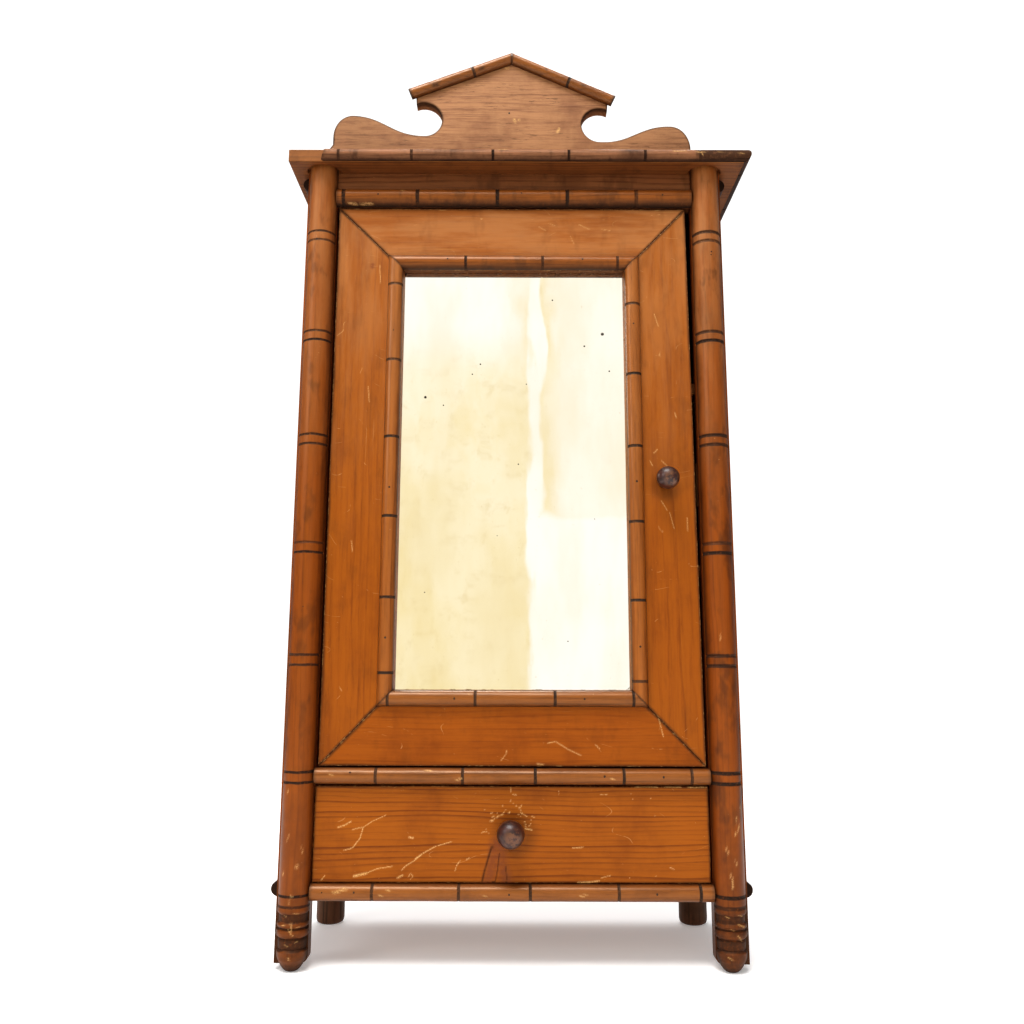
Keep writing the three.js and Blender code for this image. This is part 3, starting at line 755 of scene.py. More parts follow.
# height, radius, stain: from the tip of the foot to the plain shaft
FOOT = [
    (0, 3.2, 1), (0.6, 4.6, 1), (2.0, 6.2, 1), (4.2, 7.8, 0.8), (6.6, 9.0, 0.4), (8.2, 9.9, 0.15),
    (10.5, 10.5, 0.1), (13.6, 10.8, 0.3), (14.5, 10.0, 1), (15.4, 9.3, 1), (16.2, 9.8, 1),
    (18.0, 9.9, 0.92), (20.8, 10.0, 1), (21.8, 9.6, 1), (22.4, 9.3, 1), (23.2, 10.3, 0.7),
    (24.1, 11.1, 0.15), (26.0, 11.4, 0.05), (27.6, 11.0, 0.2), (28.3, 9.8, 1), (29.2, 9.6, 1),
    (29.9, 10.8, 0.35), (31.2, 11.3, 0.15), (32.4, 10.9, 0.5), (33.2, 10.0, 1), (34.4, 9.9, 1),
    (36.2, 10.0, 0.9), (38.2, 10.1, 1), (39.0, 10.9, 0.5), (40.2, 11.3, 0.05), (41.4, 11.1, 0.05),
    (42.0, 11.0, 0.1),
]
FOOT_TOP = 42
COLUMN_R, COLUMN_STEPS = 11.0, 30
# height of the lowest pair of rings, the step between pairs, half the gap in a pair, and their number
PAIR_FIRST, PAIR_STEP, PAIR_HALF, PAIRS = 47.6, 82.1, 3.6, 7
COLUMN_RING_HALF = {"left": 0.85, "right": 1.2}
# how brown the bottom of each foot is
FOOT_DIRT = {"left": 0.42, "right": 0.62}
NICKS = {
    "left": [
        ([(-148.5, 71.0), (-150.0, 69.0)], 1.8), ([(-157, 88), (-155, 91)], 0.8),
        ([(-158, 120), (-156.5, 122)], 0.9), ([(-152.8, 51.5), (-153.4, 45.5)], 0.9),
        ([(-151.5, 51), (-150.6, 48.5)], 0.6), ([(-152, 33), (-151, 27)], 1.1),
        ([(-153.5, 29), (-150, 25)], 0.8), ([(-153, 11), (-152, 9)], 1.0),
        ([(-158, 31.5), (-156, 31.8)], 0.7), ([(-148, 30), (-146, 30.6)], 0.7),
        ([(-157, 38), (-155, 37)], 0.6), ([(-150, 39.5), (-147, 39)], 0.7), ([(-156, 19), (-153, 18)], 0.6),
        ([(-149, 20), (-147, 21)], 0.6), ([(-160, 64), (-158, 66)], 0.6), ([(-147, 84), (-146, 80)], 0.7),
    ],
    "right": [
        ([(159.2, 99.5), (157.9, 93.8), (152.9, 90.8)], 0.9), ([(151, 66), (153, 61), (152, 56)], 1.0),
        ([(156, 33), (160, 31)], 1.0), ([(150, 230), (151, 226)], 0.9), ([(155, 26), (158, 22)], 0.9),
        ([(160, 112), (161, 108)], 0.8), ([(157, 104), (157.5, 99)], 0.7), ([(150, 30), (153, 29)], 0.7),
        ([(147, 38), (150, 37)], 0.6), ([(148, 12), (151, 10)], 0.8), ([(156, 39), (159, 38)], 0.6),
        ([(149, 84), (150, 80)], 0.7), ([(155, 76), (156, 72)], 0.8),
    ],
}


def column(side):
    node = f"column_{side}"
    lo, hi = span(node)
    axis = (lo.x + hi.x) / 2
    half = COLUMN_RING_HALF[side]
    rings = [PAIR_FIRST + PAIR_STEP * k + sign * PAIR_HALF for k in range(PAIRS) for sign in (-1, 1)]
    # the lowest pair sits a little below the even step
    rings[0] -= 0.8
    rings[1] -= 1.0
    foot_z, foot_r, foot_stain = zip(*FOOT)
    shaft = [z for z in stations(hi.z, rings, half) if z > FOOT_TOP]
    heights = np.unique(np.concatenate([np.linspace(0, FOOT_TOP, 85), foot_z, shaft]).round(3))
    seed = 1 if side == "left" else 2
    sections, stain_and_shade = [], []
    for z in heights:
        on_foot = z < FOOT_TOP
        r = float(np.interp(z, foot_z, foot_r)) if on_foot else COLUMN_R
        r -= 0.4 * half * ring_depth(z, rings, half)
        section = []
        for j in range(COLUMN_STEPS + 1):
            a = math.pi + math.pi * j / COLUMN_STEPS
            shift = 1.0 * ripple(2 * math.cos(a), 2 * math.sin(a), z / 3, seed)
            dark = float(np.interp(z + shift, foot_z, foot_stain)) if on_foot else 0.0
            dirt = FOOT_DIRT[side] + 0.18 * ripple(3 * math.cos(a), z / 3, 3 * math.sin(a), seed + 3)
            dark *= 0.86 + 0.14 * ripple(5 * math.cos(a), z, 5 * math.sin(a), seed + 7)
            dark = max(dark, dirt * float(np.interp(z, [36, 60], [1, 0])))
            swing = r * (1 + 0.008 * ripple(z / 60, 2 * math.cos(a), 2 * math.sin(a), seed))
            section.append((axis + swing * math.cos(a), min(-GLUE, swing * math.sin(a) - GLUE * 0.5), z))
            stain_and_shade.append(max(dark, ring_stain(z + 0.3 * shift, rings, half)))
        sections.append(np.array(section))
    points, faces = loft(sections)
    values = {"stain_and_shade": stain_and_shade, "edge": -points[:, 1] - GLUE, "chip": 0.75 * painted(points, NICKS[side])}
    material = MATERIALS["column" if side == "left" else "column_smoked"]
    piece(f"ringed_{node}", points, faces, "carcass", [node], material, values)


def back_foot(side):
    node = f"back_foot_{side}"
    lo, hi = span(node)
    centre, r = (lo + hi) / 2, (hi.x - lo.x) / 2
    known_z = (0.0, 0.5, 1.7, 4.0, 20.0, 40.0, hi.z)
    known_r = (r - 3.2, r - 1.6, r - 0.5, r, r - 0.15, r - 0.1, r - 0.2)
    sections = turned([(np.interp(z, known_z, known_r), z) for z in np.linspace(0, hi.z, 40)], 32)
    points, faces = loft([s + np.array([centre.x, centre.y, 0]) for s in sections])
    wobble = [1 + 0.012 * ripple(p[0] / 6, p[1] / 6, p[2] / 25, 4) for p in points]
    points[:, 0] = centre.x + (points[:, 0] - centre.x) * np.minimum(1, wobble)
    piece(f"turned_{node}", points, faces, "carcass", [node], MATERIALS["dark_z"])


# ---------------------------------------------------------------- half-round mouldings

MOULDING_RINGS = {
    "frieze_moulding": (-135.6, -76.8, -13.2, 42.4, 97.2),
    "divider_moulding": (-97.4, -35.4, 16.4, 79.6, 127.9),
    "bottom_moulding": (-97.7, -37.2, 12.8, 74.7, 131.7),
    "door_moulding_top": (-37.8, 22.7, 81.6),
    "door_moulding_bottom": (-90.4, -27.0, 30.8, 87.6),
    "door_moulding_left": (502.7, 440.7, 379.6, 318.3, 257.6, 202.7),
    "door_moulding_right": (486.8, 429.9, 372.7, 314.6, 255.8, 197.0),
    "cornice_moulding_front": (-137.7, -80.4, -16.6, 42.9, 102.7, 146.0),
}
MOULDING_CHIPS = {
    "frieze_moulding": [
        ([(-132, 570.6), (-125, 570.2)], 0.9), ([(-122, 570.2), (-112, 570.4)], 0.8),
        ([(-90, 580), (-88, 581)], 0.8),
    ],
    "bottom_moulding": [
        ([(-123.3, 52.1), (-115.4, 54.6)], 1.68), ([(-86, 53.7)], 1.4), ([(-92, 50.6), (-90, 50)], 0.91),
        ([(-63.1, 51.8)], 0.98), ([(-20, 50), (-17, 51)], 0.84), ([(48, 50), (51, 51)], 0.84),
        ([(88, 53)], 0.7),
    ],
    "divider_moulding": [
        ([(65.1, 133.5)], 0.98), ([(69.4, 127.2), (71.0, 128.8)], 1.12), ([(-40, 127.5), (-36, 129)], 1.12),
        ([(-62, 134), (-58, 134.4)], 0.63), ([(-129, 131)], 0.84),
    ],
    "door_moulding_bottom": [([(-31, 188)], 0.84), ([(-9.5, 184)], 0.7), ([(4, 186)], 0.63)],
    "cornice_moulding_front": [
        ([(126, 605.5), (134, 605.8)], 0.91), ([(143.8, 604.4), (150, 604.0)], 0.9),
        ([(153, 603.9), (158, 604.1)], 0.6), ([(161, 604.2), (170, 603.8)], 0.6),
        ([(172, 604.0), (180, 603.6)], 0.55), ([(147, 602.6), (148, 602)], 0.7),
        ([(60, 607), (64, 607.3)], 0.63), ([(-58, 607), (-50, 607.2)], 0.56),
        ([(-12, 607), (-6, 607)], 0.63),
    ],
}


# half widths of rings that are drawn wider than the rest
RING_WIDE = {"frieze_moulding": 1.35}
# how dark the painted shade on the lower half of a level moulding is, and the share of its CAD box that a
# stick fills
UNDERSIDE_SHADE = {"frieze_moulding": 0.85, "door_moulding_top": 0.5}
FILL, FILL_ROUGH = 0.98, 0.97


def underside(points, lo, hi):
    """Painted shade: 0 on the upper half of a level moulding, rising unevenly to 1 at its lower edge."""
    wander = np.array([0.12 * ripple(p[0] / 7, p[2] / 2, 0, 4) for p in points])
    return np.clip(((lo.z + hi.z) / 2 - points[:, 2]) / (hi.z - lo.z) * 2.2 + wander, 0, 1) ** 1.6


def moulding(node, body, material, along="x", cuts=None, ragged=0.0):
    """A stick that stands for a straight CAD moulding on the front, along x or z."""
    lo, hi = span(node)
    centre = (lo + hi) / 2
    seed = 3.0 + list(MOULDING_RINGS).index(node) if node in MOULDING_RINGS else 1.0
    at_start, length = (lo.x, hi.x - lo.x) if along == "x" else (lo.z, hi.z - lo.z)
    rings = [r - at_start for r in MOULDING_RINGS.get(node, ())]
    if along == "x":
        start, axes, width = (lo.x, hi.y, centre.z), ((1, 0, 0), (0, 0, 1), (0, -1, 0)), hi.z - lo.z
    else:
        start, axes, width = (centre.x, hi.y, lo.z), ((0, 0, 1), (1, 0, 0), (0, -1, 0)), hi.x - lo.x
    proud = hi.y - lo.y
    points, faces, values = stick(
        start, *axes, length, width * FILL, proud * FILL, rings, cuts, ragged,
        seed=seed, half=RING_WIDE.get(node, RING_HALF),
    )
    values["chip"] = painted(points, MOULDING_CHIPS.get(node, []))
    # painted shade on the lower half of a level moulding, kept with its stains
    if along == "x":
        values["stain_and_shade"] = np.maximum(values["stain_and_shade"], UNDERSIDE_SHADE.get(node, 0.2) * underside(points, lo, hi))
    piece(f"ringed_{node}", points, faces, body, [node], MATERIALS[material], values)


def door_mouldings():
    for node, along in (("top", "x"), ("bottom", "x"), ("left", "z"), ("right", "z")):
        name = f"door_moulding_{node}"
        lo, hi = span(name)
        length = hi.x - lo.x if along == "x" else hi.z - lo.z
        width = hi.z - lo.z if along == "x" else hi.x - lo.x
        # the mitre widens the stick towards the door's outer side
        outward = 1 if node in ("top", "right") else -1
        cuts = ((width / 2, -outward), (length - width / 2, outward))
        material = {"top": "moulding_smoked", "bottom": "moulding"}.get(node, "moulding_z")
        moulding(name, "door", material, along, cuts)


def cornice_mouldings():
    node = "cornice_moulding_front"
    lo, hi = span(node)
    proud, width = hi.y - lo.y, hi.z - lo.z
    # the right end is mitred in depth, so the section shortens towards its back
    rings = [r - lo.x for r in MOULDING_RINGS[node]]
    length = hi.x - lo.x
    points, faces, values = stick(
        (lo.x, hi.y, (lo.z + hi.z) / 2), (1, 0, 0), (0, 0, 1), (0, -1, 0),
        length, width * FILL_ROUGH, proud * FILL_ROUGH, rings,
        cuts=((2.0, 0.35), (length, 0)), ragged=1.9, seed=7,
    )
    limit = hi.x - proud + (hi.y - points[:, 1])
    points[:, 0] = np.minimum(points[:, 0], limit)
    values["chip"] = painted(points, MOULDING_CHIPS[node])
    # darker towards the right end, and painted shade on the lower half
    corner = 0.8 * np.clip((points[:, 0] - 138) / 14, 0, 1)
    dim = np.maximum(corner, 0.55 * underside(points, lo, hi))
    values["stain_and_shade"] = np.maximum(values["stain_and_shade"], dim)
    piece(f"ringed_{node}", points, faces, "carcass", [node], MATERIALS["dark_x"], values)

    node = "cornice_moulding_right"
    lo, hi = span(node)
    proud, width, length = hi.x - lo.x, hi.z - lo.z, hi.y - lo.y
    rings = [24.0, 79.0, 133.0]
    points, faces, values = stick(
        (lo.x, lo.y, (lo.z + hi.z) / 2), (0, 1, 0), (0, 0, 1), (1, 0, 0),
        length, width * FILL_ROUGH, proud * FILL_ROUGH, rings, seed=8,
    )
    limit = lo.y + proud - (points[:, 0] - lo.x)
    points[:, 1] = np.maximum(points[:, 1], limit)
    piece(f"ringed_{node}", points, faces, "carcass", [node], MATERIALS["dark_y"], values)


SIDE_RINGS = (31.0, 84.0)


def side_mouldings():
    for level in ("base", "top"):
        for side, sign in (("left", -1), ("right", 1)):
            node = f"{level}_moulding_{side}"
            lo, hi = span(node)
            start = (lo.x if sign > 0 else hi.x, lo.y, (lo.z + hi.z) / 2)
            length = hi.y - lo.y
            points, faces, values = stick(
                start, (0, 1, 0), (0, 0, 1), (sign, 0, 0), length,
                (hi.z - lo.z) * FILL, (hi.x - lo.x) * FILL, SIDE_RINGS, inked=0.9, seed=20 + sign,
            )
            piece(f"ringed_{node}", points, faces, "carcass", [node], MATERIALS["dark_y"], values)


# the crest leans to the right: one gable is flatter than the other. Heights are above the cornice
CREST_X, CREST_LEAN, CREST_APEX, CREST_SLOPE = -2.0, 0.034, 89.5, 0.427
GABLE_RISE, GABLE_WIDTH, GABLE_PROUD, GABLE_REACH, MITRE = 90.5, 9.5, 5.0, 83.5, 0.15
GABLE_SLOPES = {"left": CREST_SLOPE - CREST_LEAN, "right": CREST_SLOPE + CREST_LEAN}
GABLE_RINGS = {"left": (35.5,), "right": (53.0,)}
# dark diamonds round the nails
GABLE_NAILS = {
    "left": [
        ([(-65.5, 667.2), (-62.5, 668.2)], 3.0), ([(-27.8, 682.0), (-25.6, 683.0)], 2.4),
        ([(-68, 669), (-60, 669.8)], 1.0),
    ],
    "right": [([(25.6, 681.8)], 2.0), ([(55.0, 667.8), (56.4, 667.4)], 2.6)],
}


def gable_mouldings():
    top = span("cornice_board")[1].z
    for side, sign in (("left", -1), ("right", 1)):
        angle = math.atan(GABLE_SLOPES[side])
        along = (sign * math.cos(angle), 0, -math.sin(angle))
        up = (sign * math.sin(angle), 0, math.cos(angle))
        apex = np.array([CREST_X, span("crest_moulding_left")[1].y, top + GABLE_RISE])
        start = apex - np.array(up) * GABLE_WIDTH / 2
        length = GABLE_REACH / math.cos(angle)
        # on the mitre, x stays at the apex: the place along the stick depends on the height across it
        mitred_at = (MITRE + math.sin(angle) * GABLE_WIDTH / 2) / math.cos(angle)
        cuts = ((mitred_at, -math.tan(angle)), (length, 0))
        node = f"crest_moulding_{side}"
        points, faces, values = stick(
            start, along, up, (0, -1, 0), length, GABLE_WIDTH * FILL_ROUGH, GABLE_PROUD * FILL_ROUGH,
            GABLE_RINGS[side], cuts, inked=0.85, seed=30 + sign, half=1.1,
        )
        values["stain_and_shade"] = np.maximum(values["stain_and_shade"], 0.8 * painted(points, GABLE_NAILS[side]))
        material = MATERIALS["moulding"]
        piece(f"ringed_{node}", points, faces, "carcass", [node], material, values)


# ---------------------------------------------------------------- crest

CREST_HALF, EAVE_X = 152, 77.6
EAR = {"x": 127.3, "z": 11.5, "rx": 15.6, "rz": 19.3}
NOTCH = {"x": 70.5, "z": 29.6, "r": 14.5, "from": 1.53 * math.pi, "to": 0.36 * math.pi}


CREST_MARKS = [
    ([(0, 641), (0.6, 637.5)], 1.2), ([(3.5, 641), (4, 638.5)], 0.9), ([(34, 629), (36, 632)], 1.6),
    ([(-9, 685), (-3, 687)], 1.2),
]


def bezier(points, steps):
    """Points along a Bezier curve through its first and last control point."""
    points = [np.array(p, float) for p in points]
    curve = []
    for t in np.linspace(0, 1, steps + 1):
        level = points
        while len(level) > 1:
            level = [a + (b - a) * t for a, b in zip(level, level[1:])]
        curve.append(tuple(level[0]))
    return curve


def crest_half():
    """The crest's outline from the foot of its right ear to the apex, heights above the cornice."""
    ear = [
        (EAR["x"] + EAR["rx"] * math.cos(a), EAR["z"] + EAR["rz"] * math.sin(a))
        for a in np.linspace(0, math.pi / 2, 22)
    ]
    notch = [
        (NOTCH["x"] + NOTCH["r"] * math.cos(a), NOTCH["z"] + NOTCH["r"] * math.sin(a))
        for a in np.linspace(NOTCH["from"], NOTCH["to"], 44)
    ]
    flare = bezier([(151, 1), (145, 4), (142.9, 7.5)], 5)
    ogee = bezier([(127.3, 30.8), (103, 30.8), (96, 15.1), (71.8, 15.1)], 26)
    eave = bezier([(EAVE_X, CREST_APEX - CREST_SLOPE * EAVE_X), (0, CREST_APEX)], 29)
    points = [(CREST_HALF, 0)] + flare + ear + ogee + notch + eave
    kept = [points[0]]
    for p in points[1:]:
        if math.dist(p, kept[-1]) > 0.3:
            kept.append(p)
    return kept


def crest():
    lo, hi = span("crest_board")
    half = crest_half()
    outline = half + [(-x, z) for x, z in reversed(half[:-1])]
    outline = [(x + CREST_X, z - CREST_LEAN * x * min(1, z / 15)) for x, z in outline]
    # the straight foot, divided like the rest of the outline
    foot = [(x + CREST_X, 0) for x in np.linspace(-CREST_HALF, CREST_HALF, 120)[1:-1]]
    outline = np.array(outline + foot)
    closed = np.concatenate([outline, outline[:1]])

    # rings of points just inside the edge, then an even field
    tangent = np.roll(outline, -1, axis=0) - np.roll(outline, 1, axis=0)
    inward = np.stack([-tangent[:, 1], tangent[:, 0]], axis=1) / np.linalg.norm(tangent, axis=1)[:, None]
    inner = np.concatenate([outline + inward * d for d in (0.25, 0.6, 1.1)])
    inner = inner[distances(inner, closed) > 0.2]
    rows = enumerate(np.arange(1.5, 90, 2.0))
    field = np.array([(x + (i % 2), z) for i, z in rows for x in np.arange(-155, 152, 2.0)])
    field = field[distances(field, closed) > 1.7]
    places = [Vector(p) for p in np.concatenate([outline, inner, field])]
    flat, _, triangles, *_ = delaunay_2d_cdt(places, [], [list(range(len(outline)))], 1, 1e-4)
    flat = np.array([tuple(p) for p in flat])
    edge = distances(flat, closed)
    soft = np.array([0.8 * (1 + 0.4 * ripple(x / 11, z / 11, 0, 6)) for x, z in flat])
    reach = np.maximum(0.0, soft - edge)
    back = soft - np.sqrt(np.maximum(0.0, soft**2 - reach**2))
    front = np.stack([flat[:, 0], lo.y + back, flat[:, 1] + lo.z], axis=1)
    rear = np.stack([flat[:, 0], np.full(len(flat), hi.y), flat[:, 1] + lo.z], axis=1)
    faces = [tuple(t) for t in triangles]
    faces += [tuple(len(flat) + i for i in reversed(t)) for t in triangles]
    borders = {}
    for t in triangles:
        for a, b in zip(t, t[1:] + t[:1]):
            borders[(a, b)] = borders.get((a, b), 0) + 1
    for a, b in borders:
        if (b, a) not in borders:
            faces.append((b, a, len(flat) + a, len(flat) + b))
    points = np.concatenate([front, rear])
    dim = 0.2 * np.clip((np.abs(points[:, 0] - CREST_X) - 78) / 45, 0, 1)
    outer = np.concatenate([edge, edge * 0 + 3])
    dim = np.maximum(dim, 0.6 * np.clip((0.5 - outer) / 0.4, 0, 1))
    values = {"edge": outer, "chip": painted(points, CREST_MARKS), "stain_and_shade": dim}
    material = MATERIALS["crest"]
    piece("sawn_crest_board", points, faces, "carcass", ["crest_board"], material, values)


# ---------------------------------------------------------------- door

DOOR_MARKS = {
    "door_rail_bottom": [
        ([(25.6, 153.1), (31.2, 154.2), (40, 148.8), (49.3, 144.6)], 0.9),
        ([(17.9, 138.6), (22.3, 138.1)], 1.2), ([(60, 152), (63, 149)], 0.8),
        ([(-8, 141), (-4, 146), (-4.5, 148)], 0.7), ([(106, 171), (107, 166), (109, 158)], 0.9),
        ([(108, 175), (113, 177)], 0.8), ([(116, 173), (116.5, 170)], 0.7),
    ],
    "door_rail_top": [
        ([(20, 553), (25, 550)], 0.55), ([(52, 555), (60, 551)], 0.6), ([(45, 545), (48, 538)], 0.45),
        ([(28, 556), (33, 554)], 0.45), ([(70, 551), (78, 549.5)], 0.4), ([(40, 528), (46, 524)], 0.5),
    ],
    "door_stile_left": [
        ([(-106, 520), (-105, 505)], 0.7), ([(-112, 420), (-111, 408)], 0.7),
        ([(-121, 300), (-120, 292)], 0.8),
    ],
    "door_stile_right": [
        ([(104, 362), (106, 358)], 0.9), ([(113, 362), (117, 358)], 1.0), ([(112, 331), (116, 324)], 0.8),
        ([(118, 322), (121, 310)], 0.7), ([(131, 318), (131, 308)], 0.8), ([(124, 400), (125, 396)], 0.9),
        ([(110, 480), (113, 470)], 0.7), ([(107, 368), (110, 371)], 0.9),
    ],
}


DOOR_MEMBERS = {
    "door_rail_bottom": "rail", "door_rail_top": "rail",
    "door_stile_left": "stile", "door_stile_right": "stile",
}
DOOR_KNOTS = {"door_stile_left": [([(-111.8, 518.6), (-111.6, 520)], 4.0)]}


def door_frame():
    spindle = middle("latch_spindle")
    for number, (node, material) in enumerate(DOOR_MEMBERS.items()):
        hole = (spindle.x, spindle.z, 3.4) if node == "door_stile_right" else None
        marks = [("chip", DOOR_MARKS[node]), ("knot", DOOR_KNOTS.get(node, []))]
        points, faces, values = refaced(node, 0.9, 0.35, number, marks, hole)
        if node == "door_rail_top":
            # painted shade on the edge above the glass
            lo = span(node)[0]
            shade_over_glass = (points[:, 2] < lo.z + 0.3) & (points[:, 1] > lo.y + 0.5)
            values["stain_and_shade"] = 0.75 * shade_over_glass
        values["chip"] = 0.75 * values["chip"]
        piece(f"worn_{node}", points, faces, "door", [node], MATERIALS[material], values)


# ---------------------------------------------------------------- knobs


def knob(node, body, squash_z):
    """A ball knob on a short neck, facing the viewer, its crown worn flat."""
    lo, hi = span(node)
    centre = (lo + hi) / 2
    r = (hi.x - lo.x) / 2
    depth = hi.y - lo.y
    neck = 0.5 * r
    profile = [(neck + 1.0, 0.0), (neck + 1.0, 0.9), (neck, 1.8), (neck * 0.96, depth - 1.72 * r)]
    for a in np.linspace(math.radians(38), math.radians(178), 30):
        bulge = 1 + 0.02 * math.sin(3 * a)
        profile.append((r * math.sin(a) * bulge, depth - r * 0.94 - 0.94 * r * math.cos(a)))
    sections = turned(profile, 40)
    points, faces = loft(sections)
    lumps = np.array([1 + 0.02 * ripple(p[0] / 4, p[1] / 4, p[2] / 4, depth) for p in points])
    points[:, :2] *= np.minimum(lumps, 1.0)[:, None]
    off_centre = np.hypot(points[:, 0] - 0.2 * r, points[:, 1] + 0.2 * r) / r
    worn = np.where(points[:, 2] > depth * 0.6, np.clip((0.85 - off_centre) / 0.45, 0, 1), 0.0)
    across, up = centre.x + points[:, 0], centre.z + points[:, 1] * squash_z
    placed = np.stack([across, hi.y - points[:, 2], up], axis=1)
    piece(f"worn_{node}", placed, faces, body, [node], KNOB, {"worn": worn}, sharp=60)


# ---------------------------------------------------------------- drawer

DRAWER_SCRATCHES = [
    ([(-123.6, 94.6), (-119, 96), (-114.5, 98.6)], 1.01),
    ([(-89.7, 103), (-99.3, 98.8), (-105.7, 94.6)], 0.5),
    ([(-105.7, 94.6), (-107.7, 87.4), (-112.9, 80.6), (-118.8, 79.1)], 0.79),
    ([(-113.3, 93.1), (-106.8, 94.6)], 0.72), ([(-43.1, 85), (-52.3, 82.4)], 0.65),
    ([(-54, 82), (-63, 77.2), (-69.4, 72), (-74.7, 68.9), (-77.9, 65.9)], 0.79),
    ([(-68, 73.5), (-64, 76.5)], 1.3), ([(-111.1, 61.7), (-102.6, 63.7)], 1.94),
    ([(-102.6, 63.7), (-95.1, 66.8), (-84.4, 68.4)], 0.72), ([(-80.4, 60.7), (-77.2, 62.3)], 1.44),
    ([(-72.9, 61.3), (-71.4, 63.8), (-69.7, 61.8), (-71.3, 59.7)], 0.58),
    ([(-40.1, 65.5), (-39.1, 69), (-36.5, 72.6)], 0.65), ([(-32.1, 73.2), (-30, 74.2)], 0.86),
    ([(-73, 88), (-70.3, 87.5)], 1.37), ([(-134.2, 59), (-131.6, 62.1)], 0.72),
    ([(-15.2, 99.2), (-13.8, 99.6)], 1.6), ([(-12.6, 100.9)], 1.1), ([(-14.2, 101.8), (-13.0, 102.6)], 0.9),
    ([(-10.9, 101.6), (-9.8, 102.4)], 1.3), ([(-8.4, 103.0), (-6.6, 103.8)], 1.0), ([(-10.8, 104.6)], 0.8),
    ([(-19.5, 106.9)], 0.79), ([(-21.5, 91.3), (-19.5, 92)], 0.72), ([(6.1, 104.9), (10.5, 102.3)], 0.65),
    ([(14, 102.6), (16, 101.6)], 0.72), ([(9.5, 94), (14, 93.2)], 0.94), ([(-1, 122.2), (-1, 119)], 0.5),
    ([(0.5, 117.4), (3, 117)], 0.86), ([(-1, 113.6), (-1.4, 112.2)], 0.65),
    ([(46.3, 57.9), (53.3, 58.2), (61.3, 59)], 1.22), ([(63, 61.2), (69.5, 62.7)], 0.65),
    ([(42.7, 81.1), (50.3, 81.6)], 0.72), ([(33.2, 119.6)], 0.86), ([(85, 118.2)], 0.72),
    ([(86, 114.5)], 0.72), ([(98.7, 114.9)], 0.72), ([(101.7, 103.3)], 0.79),
    ([(88, 122.7), (97, 122.9), (104, 122.6)], 0.7), ([(109, 122.8), (121, 122.7)], 0.6),
    ([(126, 122.6), (139, 122.8)], 0.8), ([(82.9, 61.2)], 0.72), ([(101.2, 62.3)], 0.79),
    ([(111.5, 68.2), (114, 66.8)], 0.79), ([(63, 117.6), (68, 117.6)], 0.5),
]


def pecks(seed, count, x, z, near, far):
    """Short seeded nicks round a point, most of them above it."""
    dice = random.Random(seed)
    marks = []
    for _ in range(count):
        a, r = dice.uniform(0.05, 1.1) * math.pi, dice.uniform(near, far)
        at = (x + r * math.cos(a), z + r * math.sin(a))
        end = (at[0] + dice.uniform(-0.9, 0.9), at[1] + dice.uniform(-0.5, 0.5))
        marks.append(([at, end], dice.uniform(0.6, 1.0)))
    return marks


DRAWER_CRACKS = [
    ([(-14.6, 81), (-16.2, 76), (-19.2, 66), (-21.0, 58.5)], 1.5),
    ([(-8.9, 77.3), (-10.2, 66), (-11.9, 57.9)], 0.8), ([(-4.5, 69), (-3.6, 60)], 0.6),
    ([(-13.2, 57.8)], 2.2), ([(-4, 57.8)], 1.8), ([(-14.0, 81.5)], 2.4),
]
DRAWER_KNOT = [([(-12, 84), (-13, 72), (-17, 58)], 9.0), ([(-9, 82), (-8, 72), (-4, 58)], 10.0)]


def drawer_front():
    node = "drawer_front"
    nicks = DRAWER_SCRATCHES + pecks(4, 26, -1, 93, 11, 19)
    marks = [("chip", nicks), ("stain_and_shade", DRAWER_CRACKS), ("knot", DRAWER_KNOT)]
    points, faces, values = refaced(node, 0.65, 0.8, 9, marks)
    points[:, 1] += 0.12 * values["chip"] + 0.2 * values["stain_and_shade"]
    values["stain_and_shade"] = 0.72 * values["stain_and_shade"]
    piece("scratched_drawer_front", points, faces, "drawer", [node], MATERIALS["drawer"], values)


# ---------------------------------------------------------------- mirror and nails


# points across and up the glass, and how much of its edge the door's rebate covers
MIRROR_ACROSS, MIRROR_ROWS, COVERED = 60, 112, 6.5


def mirror():
    node = "mirror"
    lo, hi = span(node)
    front, edge = [], []
    for z in np.linspace(lo.z, hi.z, MIRROR_ROWS):
        for x in np.linspace(lo.x, hi.x, MIRROR_ACROSS):
            wave = 0.035 * ripple(x / 16, z / 55, 0, 2) + 0.02 * ripple(x / 7, z / 22, 3, 2)
            front.append((x, lo.y + 0.12 + wave, z))
            edge.append(min(x - lo.x, hi.x - x, z - lo.z, hi.z - z) - COVERED)
    count = len(front)
    rear = [(x, hi.y, z) for x, _, z in front]
    quads, rim = grid(MIRROR_ACROSS, MIRROR_ROWS)
    faces = quads + [tuple(count + i for i in reversed(quad)) for quad in quads]
    for a, b in zip(rim, rim[1:] + rim[:1]):
        faces.append((a, count + a, count + b, b))
    values = {"edge": edge + edge}
    piece("wavy_mirror_glass", front + rear, faces, "door", [node], MIRROR, values)


def nails(name, body, places):
    """Small punched nail heads, each a low dome on the surface it was driven into, facing the viewer."""
    points, faces = [], []
    for number, (x, y, z) in enumerate(places):
        r = 0.75 + 0.2 * ripple(number, 0.5, 0, 5)
        profile = [(r, -0.25), (r, 0.0), (r * 0.7, 0.12), (r * 0.2, 0.16)]
        made, sides = loft(turned(profile, 9))
        turned_out = np.stack([x + made[:, 0], y - made[:, 2], z + made[:, 1] * 1.15], axis=1)
        faces += [tuple(i + len(points) for i in f) for f in sides]
        points += [tuple(p) for p in turned_out]
    piece(name, points, faces, body, [], IRON)


